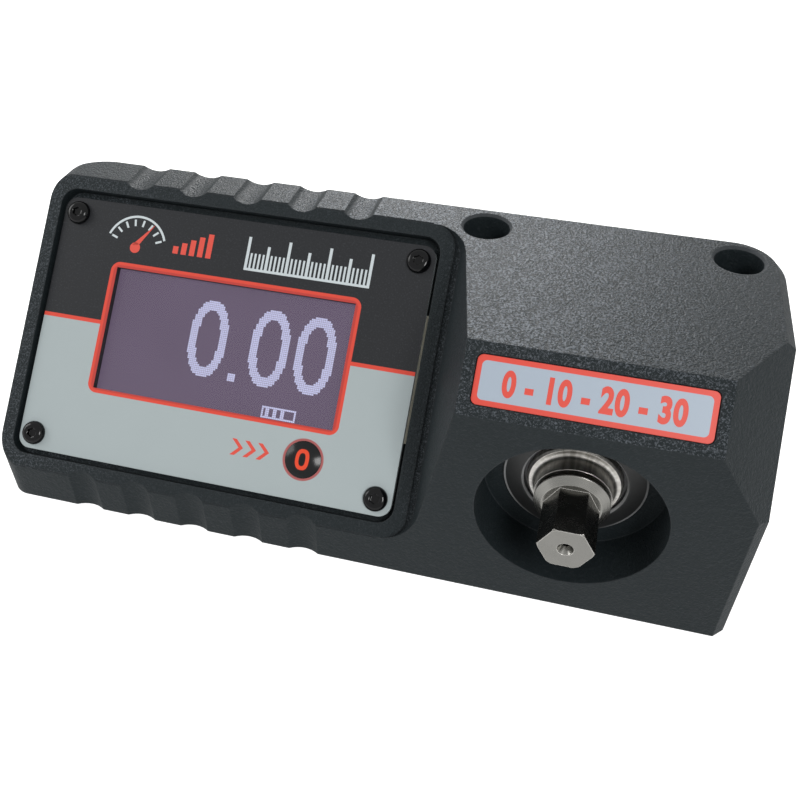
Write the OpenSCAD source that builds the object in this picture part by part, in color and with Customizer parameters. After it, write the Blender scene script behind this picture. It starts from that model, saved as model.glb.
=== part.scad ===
// Bench torque tester: a cast housing with a sloping display head on the left and,
// on the right, a hexagon drive on a strain-gauged torsion tube.
// Sizes are laid out from the lower left front corner: x along the housing,
// y from the front face to the rear face, z from the base.

/* [Housing] */
// Length of the housing, left to right
body_len = 172; // [165:1:190]
// Depth of the housing, front to rear
body_depth = 60; // [58:1:70]
// Height of the housing
body_height = 61; // [60:1:66]
// Wall thickness round the electronics bay
wall = 3; // [2.5:0.5:4]
// Radius of the front upright corner at the left end
end_radius = 5.5; // [3:0.5:8]
// Radius of the rear upright corner at the left end
rear_left_radius = 12; // [6:0.5:13]
// Radius of the top edge at the left end
top_end_radius = 4.5; // [2:0.5:6]
// Radius of the rear upright corner at the right end
rear_right_radius = 10; // [6:0.5:11]
// Thin chamfer round the right end
end_chamfer = 2.2; // [1:0.1:2.5]
// Radius of the top face's rear right corner, inside that chamfer
top_corner_radius = 8.9; // [6:0.1:10]
// Height of the small sloping face above the drive
nose_drop = 10.3; // [9:0.1:12]
// Length that the corner clip takes off the right end of the sloping face
clip_inset = 11.9; // [8:0.1:12.5]
// Length that the corner clip runs back along the top
clip_reach = 17.7; // [12:0.1:22]

/* [Display head] */
// Width of the rimmed display head
head_width = 101; // [100:1:106]
// Length of the top face behind the display face
head_shelf = 9.3; // [8.5:0.1:12]
// Height of the front face under the display head
head_foot = 10.3; // [9:0.1:12]
// Width of the raised rim
rim = 3.1; // [2.5:0.1:4]
// Width of the low ledge between the rim and the side wall of the block
ledge = 1.5; // [0.5:0.1:2.5]
// Drop of that ledge under the rim
ledge_drop = 0.3; // [0.2:0.1:0.8]
// Lean of the block's side wall, in degrees
draft_angle = 15.9; // [8:0.1:18]
// Corner radius of the display head
head_radius = 7; // [5:0.5:9]
// Distance of the middle of the scallops from the left end
flute_x = 50; // [49:0.1:52]
// Number of scallops on each edge of the head
flute_count = 5; // [3:1:6]
// Distance between scallops
flute_pitch = 13.7; // [12:0.1:15]
// Width of a scallop
flute_width = 7; // [5:0.5:8]
// Depth of a scallop
flute_depth = 1; // [0.6:0.1:1.3]

/* [Fascia] */
// Gap between the fascia and the rim at the sides
fascia_gap = 0.9; // [0.4:0.1:1.2]
// Gap between the fascia and the rim below
fascia_gap_low = 1.3; // [0.9:0.1:1.6]
// Gap between the fascia and the rim above
fascia_gap_top = 1.9; // [1.2:0.1:2]
// Depth of the fascia's face under the rim
fascia_drop = 1; // [0.6:0.1:1.6]
// Thickness of the fascia
fascia_thick = 1.5; // [1.2:0.1:2]
// Corner radius of the fascia
fascia_radius = 3; // [1.5:0.5:5]
// Thickness of the gasket under the fascia
gasket_thick = 0.8; // [0.5:0.1:1.2]
// Distance of a fascia screw from the fascia's edges
screw_inset = 3.8; // [3.6:0.1:4.6]
// Diameter of a fascia screw's thread
screw_dia = 3; // [2.5:0.1:3.2]
// Diameter of a fascia screw's domed head
screw_head_dia = 5.7; // [5:0.1:6]
// Height of that head
screw_head_high = 1.5; // [1.2:0.1:2]
// Length of a fascia screw under its head
screw_len = 9; // [7:0.5:10]

/* [Display] */
// Width of the display opening
view_width = 60; // [56:0.5:62]
// Fascia left below the display opening
view_below = 17.1; // [16.7:0.1:18]
// Fascia left above the display opening
view_above = 15.6; // [14.5:0.1:17]
// Thickness of the clear window
window_thick = 0.8; // [0.5:0.1:1]
// Thickness of the display's glass
glass_thick = 2.4; // [2:0.1:2.6]
// Thickness of the backlight
backlight_thick = 1.6; // [1.2:0.1:2]
// Thickness of a circuit board
board_thick = 1.6; // [1:0.1:2]
// Width of the circuit boards
board_width = 74; // [72:0.5:75]

/* [Zero button] */
// Distance of the button's centre from the head's left edge
button_x = 75; // [70:0.5:78]
// Height of the button's centre above the head's lower edge
button_up = 13.8; // [13.5:0.1:14.5]
// Diameter of the button's cap
button_dia = 8.4; // [7:0.1:9]
// Height that the cap stands above the fascia
button_proud = 0.9; // [0.8:0.1:1.5]
// Travel of the button
button_travel = 0.6; // [0.3:0.1:0.7]

/* [Drive] */
// Distance of the drive's axis to the left of the block's middle
drive_shift = 1; // [0:0.1:2]
// Height of the drive's axis above the base
drive_high = 27.5; // [26.5:0.5:30]
// Width across the flats of the hexagon
hex_flats = 10; // [6:0.5:11]
// Length that the hexagon stands out of the front face
hex_out = 7.7; // [5:0.1:12]
// Depth of the hexagon's root behind the front face
hex_root = 3.7; // [2:0.1:5]
// Diameter of the collar behind the hexagon
collar_dia = 15.8; // [14:0.1:17]
// Diameter of the shaft's barrel
barrel_dia = 20; // [18:0.1:20.5]
// Diameter of the recess in the front face
recess_dia = 39; // [37:0.5:41]
// Depth of that recess
recess_depth = 12; // [11:0.5:13]
// Outer diameter of the guard ring
guard_dia = 30.2; // [29:0.1:33]
// Opening of the guard ring
guard_hole = 21.4; // [21.2:0.1:22.5]
// Height of the guard ring
guard_high = 1.2; // [1:0.1:1.6]

/* [Torsion tube] */
// Diameter of the bore through the block
bore_dia = 24; // [23:0.1:25]
// Diameter of the gauged torsion tube
tube_dia = 14; // [12:0.1:15]
// Hole through the torsion tube
tube_hole = 8; // [6:0.1:9]
// Diameter of the mounting flange
flange_dia = 36; // [35:0.1:37]
// Thickness of the mounting flange
flange_thick = 6; // [5:0.1:7]
// Depth of the flange pocket in the rear face
flange_pocket = 18; // [16:0.5:19]
// Number of flange screws
flange_screw_count = 6; // [4:1:6]
// Thread diameter of a flange screw
flange_screw_dia = 4; // [3:0.1:4]
// Thickness of the rear cap
cap_thick = 2; // [1.5:0.1:3]

/* [Bench bolts] */
// Distance of the second bolt hole from the right end
bolt_inset = 10; // [9:0.1:10.5]
// Distance of the first bolt hole from the display head
bolt_side = 6; // [5.8:0.1:7]
// Distance of the bolt holes from the rear face
bolt_rear = 7.2; // [7:0.1:8.5]
// Diameter of a bolt hole
bolt_dia = 10.5; // [9:0.1:10.8]
// Chamfer at both ends of a bolt hole
bolt_chamfer = 0.55; // [0.3:0.05:1]

/* [Range plate] */
// Space left at each end of the range plate
plate_side = 13.25; // [12.5:0.25:16]
// Height of the range plate
plate_height = 9.7; // [8:0.1:10.5]
// Thickness of the range plate
plate_thick = 0.5; // [0.3:0.1:0.8]
// Depth of the plate's face under the sloping face
plate_drop = 0.25; // [0.15:0.05:0.5]
// Corner radius of the plate
plate_radius = 1.2; // [0.6:0.1:2]

/* [Power socket] */
// Distance of the power socket from the left end
power_x = 24; // [22:0.5:30]
// Height of the power socket above the base
power_high = 13; // [12:0.5:14]
// Diameter of the socket's barrel
power_dia = 8; // [7:0.1:9]
// Diameter of the socket's flange
power_flange_dia = 11.6; // [11:0.1:13]
// Thickness of that flange
power_flange_thick = 1.2; // [1:0.1:1.5]
// Length of the barrel behind the flange
power_len = 11; // [10:0.5:12]

/* [Hidden] */
$fn = 96;

// Working clearances
overrun = 1;
slack = 0.2;
hair = 0.05;
seat = 0.1;

// Frame: the origin is the centre of the base of the whole part
origin_x = body_len / 2;
origin_y = (body_depth - hex_out) / 2;

// Angles of the display face and of the small sloping face
head_back = body_depth - head_shelf;
slope = atan((body_height - head_foot) / head_back);
nose_slope = 45;
head_rise = head_back / cos(slope);
nose_rise = nose_drop / sin(nose_slope);

// The block to the right of the display head
block_width = body_len - head_width;
drive_x = head_width + block_width / 2 - drive_shift;
bolt_x = head_width + bolt_side;
bolt_spacing = body_len - bolt_inset - bolt_x;
plate_width = block_width - 2 * plate_side;
reach = body_len + body_depth + body_height;

// Scallops
flute_radius = (pow(flute_width / 2, 2) + pow(flute_depth, 2)) / (2 * flute_depth);
flute_first = flute_x - flute_pitch * (flute_count - 1) / 2;

// Depths under the display face, measured square to it
fascia_back = -fascia_drop - fascia_thick;
pocket_floor = fascia_back - gasket_thick;
bezel_lip = 0.3;
bezel_front = pocket_floor - slack;
glass_front = bezel_front - bezel_lip - seat;
glass_back = glass_front - glass_thick;
backlight_back = glass_back - seat - backlight_thick;
display_board_front = backlight_back - seat;
display_board_back = display_board_front - board_thick;
board_space_share = 1 / 6;
board_space = body_depth * board_space_share;
main_board_front = display_board_back - board_space;
main_board_back = main_board_front - board_thick;

// Outline of the pocket and of the fascia on the display face
pocket_width = head_width - 2 * rim;
pocket_height = head_rise - 2 * rim;
pocket_radius = fascia_radius + fascia_gap;
fascia_width = pocket_width - 2 * fascia_gap;
fascia_height = pocket_height - fascia_gap_low - fascia_gap_top;
fascia_x = rim + fascia_gap;
fascia_low = rim + fascia_gap_low;
fascia_centre = fascia_low + fascia_height / 2;
screw_left = fascia_x + screw_inset;
screw_right = fascia_x + fascia_width - screw_inset;
screw_low = fascia_low + screw_inset;
screw_top = fascia_low + fascia_height - screw_inset;
boss_share = 1.45;
boss_radius = screw_dia * boss_share;
boss_deep = screw_len + fascia_thick;

// Electronics bay
bay_margin = 2.6;
bay_x = rim + bay_margin;
bay_width = head_width - 2 * bay_x;
bay_radius = 6;

// Display stack, centred on the opening
view_x = head_width / 2;
view_height = fascia_height - view_below - view_above;
view_centre = fascia_low + view_below + view_height / 2;
window_border = 2;
glass_border = 1.6;
bezel_border = 2.4;
bezel_view_border = 0.6;
gasket_border = window_border + slack;
gasket_clear = 1.03;

// Zero button
button_flange = 0.8;
button_flange_thick = 0.8;
button_hole = button_dia + 2 * seat;
cap_flange_top = fascia_back - slack;
cap_flange_back = cap_flange_top - button_flange_thick;
cap_stem_dia = 4;
switch_size = 6;
switch_top = cap_flange_back - button_travel - slack;
plunger_dia = 3.5;
plunger_out = button_travel + slack / 2;
plunger_top = switch_top + plunger_out;
plunger_in = 0.5;
plunger_room = plunger_in + button_travel + slack;
cap_stem_back = plunger_top + hair;

// Drive shaft, depths behind the front face
hex_corner = hex_flats / 2 / cos(30);
centre_hole = 3.4;
pilot_hole = 1.6;
centre_deep = 1.6;
pilot_deep = 2;
hex_chamfer = 0.35;
collar_face_dia = 2 * hex_corner + 4 * slack;
collar_chamfer = 1.1;
collar_len = 1.4;
groove_len = 1.2;
groove_dia = 12.6;
barrel_chamfer = 0.45;
barrel_proud = 0.5;
guard_front = recess_depth - guard_high;
barrel_front = guard_front - barrel_proud;
barrel_len = 9.7;
nose_front = hex_root + collar_len + groove_len;
nose_dia_share = 0.81;
nose_dia = barrel_dia * nose_dia_share;
nose_fillet_share = 0.7;
nose_fillet = ((barrel_dia - nose_dia) / 2 - barrel_chamfer) * nose_fillet_share;
barrel_back = barrel_front + barrel_len;
guard_lip = 0.7;
guard_chamfer = 0.45;
bush_len = 7;

// Torsion tube and flange
shoulder = body_depth - flange_pocket;
flange_back = shoulder + flange_thick;
pocket_dia = flange_dia + slack;
cap_lip = 1;
cap_chamfer = 0.4;
cap_dia = flange_dia + 2 * cap_lip;
flange_edge_share = 1.95;
flange_head_share = 1.75;
flange_socket_share = 0.45;
flange_screw_ring = flange_dia - flange_screw_dia * flange_edge_share;
flange_screw_len = 14;
tube_len = shoulder - barrel_back;
gauge_thick = 0.25;
gauge_len_share = 0.32;
gauge_inset_share = 0.23;
gauge_len = tube_len * gauge_len_share;
gauge_width = 5;
gauge_y = barrel_back + tube_len * gauge_inset_share;
gauge_count = 4;
terminal_clear = 0.8;
terminal_thick = 1.2;
terminal_inset_share = 0.25;
terminal_y = gauge_y + gauge_len + tube_len * terminal_inset_share;

// Gauge lead, straight along x from the terminal ring to the main board
lead_dia = 3.2;
lead_hole = 7;
lead_y = terminal_y - seat - lead_dia / 2;
lead_high = drive_high;
lead_up = lead_y * cos(slope) + (lead_high - head_foot) * sin(slope);
lead_deep = (lead_high - head_foot) * cos(slope) - lead_y * sin(slope);
socket_size = 6;
socket_width = 11;
socket_over = 0.9;
socket_high = min(lead_deep - main_board_front + socket_over, board_space - 2 * slack);
plug_len = 6;
plug_width = 9;
plug_high = 4.6;
socket_x = view_x + board_width / 2 - socket_size;
plug_x = socket_x + socket_size + seat;
lead_start = plug_x + plug_len + hair;
lead_clear = 1.5;
lead_end = drive_x - tube_dia / 2 - lead_clear;

// Circuit boards
board_below = 11.7;
board_above = 9.7;
display_board_low = view_centre - view_height / 2 - board_below;
display_board_high = view_height + board_below + board_above;
board_clear = 0.6;
board_step = 4.3;
main_board_low = 18;
standoff_flats = 4.5;
board_post_inset = 3.4;
board_post_side = 9;
main_board_top = min((body_depth - wall - board_clear + main_board_back * sin(slope)) / cos(slope),
    display_board_low + display_board_high - board_step);
main_board_high = main_board_top - main_board_low;
small_screw_dia = 2.5;
small_head_dia = 4.4;
small_head_high = 1.4;
display_post_inset = 3.2;
display_posts = [for (side = [-1, 1]) for (up = [display_board_low + display_post_inset,
    display_board_low + display_board_high - display_post_inset])
    [view_x + side * (board_width / 2 - display_post_inset), up]];
board_posts = [for (side = [-1, 1]) for (up = [main_board_low + board_post_inset,
    main_board_low + main_board_high - board_post_inset])
    [view_x + side * (board_width / 2 - board_post_side), up]];
connector_width = 30;
connector_deep = 5;
connector_up = main_board_low + main_board_high / 2;
processor_size = 12;
processor_high = 1.4;
converter_size = 9;
converter_high = 1.2;
chip_apart = 12;

// Power socket and its lead, straight along y
power_hole = power_dia + slack;
power_recess = power_flange_dia + 2 * slack;
power_bore = 5.5;
power_bore_deep = 9;
power_pin = 2;
power_nut_flats = 11;
power_nut_thick = 2;
power_thread_y = body_depth - power_flange_thick - slack;
power_lead_dia = 2.6;
power_back = power_thread_y - power_len;
power_plug_high = 4.5;
power_plug_width = 8;
power_plug_len = 8;
power_plug_room = 6;
power_up = (power_back - power_plug_room) * cos(slope) + (power_high - head_foot) * sin(slope);
power_plug_face = main_board_back - seat - power_plug_high;
power_lead_end = (power_high - head_foot + power_lead_dia / 2) / tan(slope)
    - (power_plug_face - seat) / sin(slope);

// Places every sub-part in the part's own frame
module at_origin() {
    translate([-origin_x, -origin_y, 0]) children();
}

// Turns a drawing so that its y runs up the display face and its z out of it
module on_head() {
    translate([0, 0, head_foot]) rotate([slope, 0, 0]) children();
}

// The same on the small sloping face above the drive
module on_nose() {
    translate([0, 0, body_height - nose_drop]) rotate([nose_slope, 0, 0]) children();
}

// Turns a drawing so that its z runs along the drive's axis, front to rear
module on_drive() {
    translate([drive_x, 0, drive_high]) rotate([-90, 0, 0]) children();
}

// Extrudes a side outline (y, z) along the housing
module along_body(length) {
    rotate([90, 0, 90]) linear_extrude(length) children();
}

// Rectangle with rounded corners, from its lower left corner
module rounded_outline(width, height, radius) {
    translate([radius, 0]) square([width - 2 * radius, height]);
    translate([0, radius]) square([width, height - 2 * radius]);
    for (x = [radius, width - radius])
        for (y = [radius, height - radius])
            translate([x, y]) circle(radius);
}

// The same, centred on a point of the display face, from one depth to another
module head_slab(x, up, width, height, radius, low, high) {
    translate([x - width / 2, up - height / 2, low])
        linear_extrude(high - low) rounded_outline(width, height, radius);
}

// A plain block on the display face, centred the same way
module head_block(x, up, width, height, low, high) {
    translate([x - width / 2, up - height / 2, low]) cube([width, height, high - low]);
}

// A round along the display face's normal
module head_round(place, dia, low, high) {
    translate([place[0], place[1], low]) cylinder(h = high - low, d = dia);
}

// Plan of the housing: rounded left end and rear right corner, chamfered front right corner
module body_plan() {
    difference() {
        union() {
            translate([end_radius, 0]) square([body_len - end_radius, body_depth / 2]);
            translate([0, end_radius])
                square([body_len / 2, body_depth - rear_left_radius - end_radius]);
            translate([rear_left_radius, body_depth / 2])
                square([body_len - rear_left_radius - rear_right_radius, body_depth / 2]);
            translate([body_len / 2, end_radius])
                square([body_len / 2, body_depth - rear_right_radius - end_radius]);
            translate([end_radius, end_radius]) circle(end_radius);
            translate([rear_left_radius, body_depth - rear_left_radius]) circle(rear_left_radius);
            translate([body_len - rear_right_radius, body_depth - rear_right_radius])
                circle(rear_right_radius);
        }
        polygon([[body_len - end_chamfer, 0], [body_len - end_chamfer, -overrun],
            [body_len + overrun, -overrun], [body_len + overrun, end_chamfer],
            [body_len, end_chamfer]]);
    }
}

// Chamfer along the top at the right end, running round the rear corner and dying out there
module end_top() {
    corner_x = body_len - end_chamfer - top_corner_radius;
    corner_y = body_depth - top_corner_radius;
    cube([corner_x, body_depth, body_height]);
    cube([body_len, body_depth, body_height - end_chamfer]);
    translate([0, corner_y, 0]) rotate([90, 0, 0]) linear_extrude(corner_y)
        polygon([[corner_x, 0], [body_len, 0], [body_len, body_height - end_chamfer],
            [body_len - end_chamfer, body_height], [corner_x, body_height]]);
    translate([corner_x, corner_y, body_height - end_chamfer])
        cylinder(h = end_chamfer, r1 = top_corner_radius + end_chamfer, r2 = top_corner_radius);
}

// Front view of the housing, with the rounded edge along the top at the left end
module body_front() {
    square([body_len, body_height - top_end_radius]);
    translate([top_end_radius, 0]) square([body_len - top_end_radius, body_height]);
    translate([top_end_radius, body_height - top_end_radius]) circle(top_end_radius);
}

// Side view of the block: a rectangle with the small sloping face
module body_side() {
    polygon([[0, 0], [body_depth, 0], [body_depth, body_height], [nose_drop, body_height],
        [0, body_height - nose_drop]]);
}

// The facet that clips the front right corner, parallel to the sloping face's fall line
module corner_clip() {
    clip_turn = atan(clip_inset / (clip_reach * sin(nose_slope)));
    on_nose() translate([body_len - clip_inset, nose_rise, 0])
        rotate([0, 90 - clip_turn, 0]) translate([-reach, -reach, 0])
            cube([2 * reach, 2 * reach, reach]);
}

// Outer shape of the casting before the display head is cut into it
module body_blank() {
    difference() {
        intersection() {
            linear_extrude(body_height) body_plan();
            end_top();
            translate([0, body_depth, 0]) rotate([90, 0, 0]) linear_extrude(body_depth) body_front();
            along_body(body_len) body_side();
        }
        corner_clip();
    }
}

// Space over the display face, out to the leaning side wall of the block
module head_space(low) {
    on_head() intersection() {
        translate([-overrun, -reach, low]) cube([reach, 2 * reach, reach]);
        translate([head_width + ledge, 0, 0]) rotate([0, draft_angle, 0])
            translate([-reach, 0, -reach / 2]) linear_extrude(reach + reach / 2) {
                translate([0, head_radius]) square([reach, head_rise - 2 * head_radius]);
                translate([0, -reach]) square([reach - head_radius, 2 * reach + head_rise]);
                for (up = [head_radius, head_rise - head_radius])
                    translate([reach - head_radius, up]) circle(head_radius);
            }
    }
}

// The raised rim that stands over the ledge
module rim_plate() {
    rim_radius = head_radius - ledge;
    on_head() translate([-overrun, 0, -rim]) linear_extrude(rim) {
        square([head_width + overrun - rim_radius, head_rise]);
        translate([0, rim_radius]) square([head_width + overrun, head_rise - 2 * rim_radius]);
        for (up = [rim_radius, head_rise - rim_radius])
            translate([head_width + overrun - rim_radius, up]) circle(rim_radius);
    }
}

// Scallops along the top edge and the front edge of the display head
module flutes() {
    for (i = [0 : flute_count - 1])
        translate([flute_first + i * flute_pitch, 0, 0]) {
            translate([0, head_back - 2 * flute_depth, body_height + flute_radius - flute_depth])
                rotate([-90, 0, 0]) cylinder(h = body_depth, r = flute_radius);
            translate([0, flute_depth - flute_radius, -overrun])
                cylinder(h = head_foot + 2 * flute_depth + overrun, r = flute_radius);
        }
}

// Pocket that the fascia lies in
module fascia_pocket() {
    on_head() head_slab(head_width / 2, head_rise / 2, pocket_width, pocket_height,
        pocket_radius, pocket_floor, overrun);
}

// Hollow for the electronics, with the four screw bosses left standing
module electronics_bay() {
    difference() {
        intersection() {
            on_head() translate([bay_x, bay_x, -reach])
                cube([bay_width, head_rise - 2 * bay_x, reach + pocket_floor + hair]);
            translate([bay_x, wall, wall]) linear_extrude(body_height - 2 * wall)
                rounded_outline(bay_width, body_depth - 2 * wall, bay_radius);
        }
        on_head() for (x = [screw_left, screw_right]) for (up = [screw_low, screw_top])
            head_round([x, up], 2 * boss_radius, pocket_floor - boss_deep, overrun);
    }
}

// Tapped holes for the fascia screws
module screw_holes() {
    on_head() for (x = [screw_left, screw_right]) for (up = [screw_low, screw_top])
        head_round([x, up], screw_dia + 2 * hair, pocket_floor - screw_len, overrun);
}

// Recess, bore and flange pocket on the drive's axis
module drive_bores() {
    on_drive() {
        translate([0, 0, -overrun]) cylinder(h = recess_depth + overrun, d = recess_dia);
        cylinder(h = body_depth, d = bore_dia);
        translate([0, 0, shoulder]) cylinder(h = flange_pocket + overrun, d = pocket_dia);
        translate([0, 0, body_depth - cap_thick]) cylinder(h = cap_thick + overrun, d = cap_dia + slack);
    }
}

// Places the flange screws round the axis
module round_flange() {
    for (i = [0 : flange_screw_count - 1])
        rotate([0, 0, (i + 0.5) * 360 / flange_screw_count])
            translate([flange_screw_ring / 2, 0, 0]) children();
}

// Through holes for the bench bolts, chamfered at both ends
module bolt_holes() {
    cut = bolt_chamfer + overrun;
    for (x = [bolt_x, bolt_x + bolt_spacing])
        translate([x, body_depth - bolt_rear, 0]) {
            translate([0, 0, -overrun]) cylinder(h = body_height + 2 * overrun, d = bolt_dia);
            translate([0, 0, -overrun]) cylinder(h = cut, d1 = bolt_dia + 2 * cut, d2 = bolt_dia);
            translate([0, 0, body_height - bolt_chamfer])
                cylinder(h = cut, d1 = bolt_dia, d2 = bolt_dia + 2 * cut);
        }
}

// Shallow pocket for the range plate
module plate_pocket() {
    on_nose() translate([drive_x - plate_width / 2 - slack, nose_rise / 2 - plate_height / 2 - slack,
        -plate_drop - plate_thick])
        linear_extrude(nose_drop) rounded_outline(plate_width + 2 * slack, plate_height + 2 * slack,
            plate_radius + slack);
}

// Hole and recess for the power socket in the rear wall
module power_hole_cut() {
    translate([power_x, body_depth - wall - overrun, power_high]) rotate([-90, 0, 0])
        cylinder(h = wall + 2 * overrun, d = power_hole);
    translate([power_x, power_thread_y, power_high]) rotate([-90, 0, 0])
        cylinder(h = body_depth, d = power_recess);
}

module housing() {
    color("#26282a") at_origin() difference() {
        union() {
            difference() {
                body_blank();
                head_space(-ledge_drop);
            }
            intersection() {
                body_blank();
                rim_plate();
            }
        }
        flutes();
        fascia_pocket();
        electronics_bay();
        screw_holes();
        drive_bores();
        on_drive() round_flange() translate([0, 0, shoulder - flange_screw_len + flange_thick])
            cylinder(h = flange_screw_len, d = flange_screw_dia + 2 * hair);
        bolt_holes();
        plate_pocket();
        power_hole_cut();
        translate([bay_x + bay_width - overrun, lead_y, lead_high]) rotate([0, 90, 0])
            cylinder(h = drive_x - bay_x - bay_width, d = lead_hole);
    }
}

module range_plate() {
    color("#aab6c6") at_origin() on_nose()
        translate([drive_x - plate_width / 2, nose_rise / 2 - plate_height / 2, -plate_drop - plate_thick])
            linear_extrude(plate_thick) rounded_outline(plate_width, plate_height, plate_radius);
}

module fascia() {
    color("#a9b3b4") at_origin() on_head() difference() {
        head_slab(head_width / 2, fascia_centre, fascia_width, fascia_height, fascia_radius,
            fascia_back, -fascia_drop);
        head_block(view_x, view_centre, view_width, view_height, fascia_back - overrun, overrun);
        head_round([button_x, button_up], button_hole, fascia_back - overrun, overrun);
        for (x = [screw_left, screw_right]) for (up = [screw_low, screw_top])
            head_round([x, up], screw_dia + slack, fascia_back - overrun, overrun);
    }
}

// Its tab at the right-hand side shows beside the fascia
module fascia_gasket() {
    color("#d9d2b0") at_origin() on_head() difference() {
        union() {
            head_slab(head_width / 2, fascia_centre, fascia_width - fascia_gap, fascia_height - fascia_gap,
                fascia_radius, pocket_floor, fascia_back);
            head_block(fascia_x + fascia_width - fascia_radius, view_centre, 2 * fascia_radius + fascia_gap,
                view_height, pocket_floor, fascia_back);
        }
        head_block(view_x, view_centre, view_width + 2 * gasket_border, view_height + 2 * gasket_border,
            pocket_floor - overrun, overrun);
        head_round([button_x, button_up], button_dia + 2 * (button_flange + gasket_clear),
            pocket_floor - overrun, overrun);
        for (x = [screw_left, screw_right]) for (up = [screw_low, screw_top])
            head_round([x, up], screw_dia + 2 * slack, pocket_floor - overrun, overrun);
        for (place = display_posts)
            head_round(place, standoff_flats / cos(30) + slack, pocket_floor - overrun, overrun);
    }
}

module fascia_screws() {
    dome = (pow(screw_head_dia / 2, 2) + pow(screw_head_high, 2)) / (2 * screw_head_high);
    color("#0d0d0e") at_origin() on_head()
        for (x = [screw_left, screw_right]) for (up = [screw_low, screw_top]) {
            intersection() {
                translate([x, up, -fascia_drop + screw_head_high - dome]) sphere(dome);
                head_round([x, up], screw_head_dia, -fascia_drop, overrun);
            }
            head_round([x, up], screw_dia, -fascia_drop - screw_len, -fascia_drop);
        }
}

module window() {
    color([0.75, 0.8, 0.85, 0.35]) at_origin() on_head()
        head_block(view_x, view_centre, view_width + 2 * window_border, view_height + 2 * window_border,
            fascia_back - window_thick, fascia_back);
}

module lcd_glass() {
    color("#6f6275") at_origin() on_head()
        head_block(view_x, view_centre, view_width + 2 * glass_border, view_height + 2 * glass_border,
            glass_back, glass_front);
}

module lcd_backlight() {
    color("#e8e4f0") at_origin() on_head()
        head_block(view_x, view_centre, view_width + 2 * glass_border, view_height + 2 * glass_border,
            backlight_back, glass_back - seat);
}

module lcd_bezel() {
    color("#3a3c40") at_origin() on_head() difference() {
        head_block(view_x, view_centre, view_width + 2 * bezel_border, view_height + 2 * bezel_border,
            display_board_front, bezel_front);
        head_block(view_x, view_centre, view_width + 2 * (glass_border + slack),
            view_height + 2 * (glass_border + slack), display_board_front - overrun,
            bezel_front - bezel_lip);
        head_block(view_x, view_centre, view_width + 2 * bezel_view_border,
            view_height + 2 * bezel_view_border, display_board_front, overrun);
    }
}

module display_board() {
    color("#1d5a36") at_origin() on_head() difference() {
        translate([view_x - board_width / 2, display_board_low, display_board_back])
            cube([board_width, display_board_high, board_thick]);
        for (place = display_posts)
            head_round(place, small_screw_dia + slack, display_board_back - overrun, overrun);
    }
}

// Hexagon spacer with a threaded hole
module standoff(place, low, high) {
    difference() {
        translate([place[0], place[1], low])
            cylinder(h = high - low, d = standoff_flats / cos(30), $fn = 6);
        head_round(place, small_screw_dia + 2 * hair, low - overrun, high - gasket_thick);
    }
}

// Small pan-head screw whose head lies on the back of a board
module small_screw(place, board_back, length) {
    head_round(place, small_head_dia, board_back - small_head_high, board_back);
    head_round(place, small_screw_dia, board_back, board_back + length);
}

module display_standoffs() {
    color("#c7c9cc") at_origin() on_head()
        for (place = display_posts) standoff(place, display_board_front, fascia_back);
}

module display_screws() {
    color("#b9babd") at_origin() on_head()
        for (place = display_posts) small_screw(place, display_board_back, board_thick + screw_dia);
}

module main_board() {
    color("#1d5a36") at_origin() on_head() difference() {
        translate([view_x - board_width / 2, main_board_low, main_board_back])
            cube([board_width, main_board_high, board_thick]);
        for (place = board_posts)
            head_round(place, small_screw_dia + slack, main_board_back - overrun, overrun + main_board_front);
    }
}

module board_standoffs() {
    color("#c7c9cc") at_origin() on_head()
        for (place = board_posts) standoff(place, main_board_front, display_board_back);
}

module board_screws() {
    color("#b9babd") at_origin() on_head()
        for (place = board_posts) small_screw(place, main_board_back, board_thick + 2 * screw_dia);
}

module board_connector() {
    color("#1a1a1c") at_origin() on_head()
        head_block(view_x, connector_up, connector_width, connector_deep, main_board_front,
            display_board_back);
}

module processor() {
    color("#202224") at_origin() on_head()
        head_block(view_x - chip_apart, connector_up, processor_size, processor_size,
            main_board_back - processor_high, main_board_back);
}

module converter() {
    color("#202224") at_origin() on_head()
        head_block(view_x + chip_apart, connector_up, converter_size, converter_size,
            main_board_back - converter_high, main_board_back);
}

module button_cap() {
    dome = (pow(button_dia / 2, 2) + pow(button_proud, 2)) / (2 * button_proud);
    place = [button_x, button_up];
    color("#0a0a0b") at_origin() on_head() {
        intersection() {
            translate([button_x, button_up, -fascia_drop + button_proud - dome]) sphere(dome);
            head_round(place, button_dia, -fascia_drop, overrun);
        }
        head_round(place, button_dia, cap_flange_top, -fascia_drop);
        head_round(place, button_dia + 2 * button_flange, cap_flange_back, cap_flange_top);
        head_round(place, cap_stem_dia, cap_stem_back, cap_flange_back);
    }
}

module key_switch() {
    color("#2b2b2e") at_origin() on_head() difference() {
        head_block(button_x, button_up, switch_size, switch_size, display_board_front, switch_top);
        head_round([button_x, button_up], plunger_dia + 2 * hair, switch_top - plunger_room,
            switch_top + overrun);
    }
}

module switch_plunger() {
    color("#c8c2b0") at_origin() on_head()
        head_round([button_x, button_up], plunger_dia, switch_top - plunger_in, plunger_top);
}

// One turned piece: hexagon, chamfered collar, neck and barrel
// Hollow curve between the shaft's nose and the face of its barrel
function nose_root() = [for (turn = [0 : 15 : 90])
    [nose_dia / 2 + nose_fillet * (1 - cos(turn)), barrel_front - nose_fillet * (1 - sin(turn))]];

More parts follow.
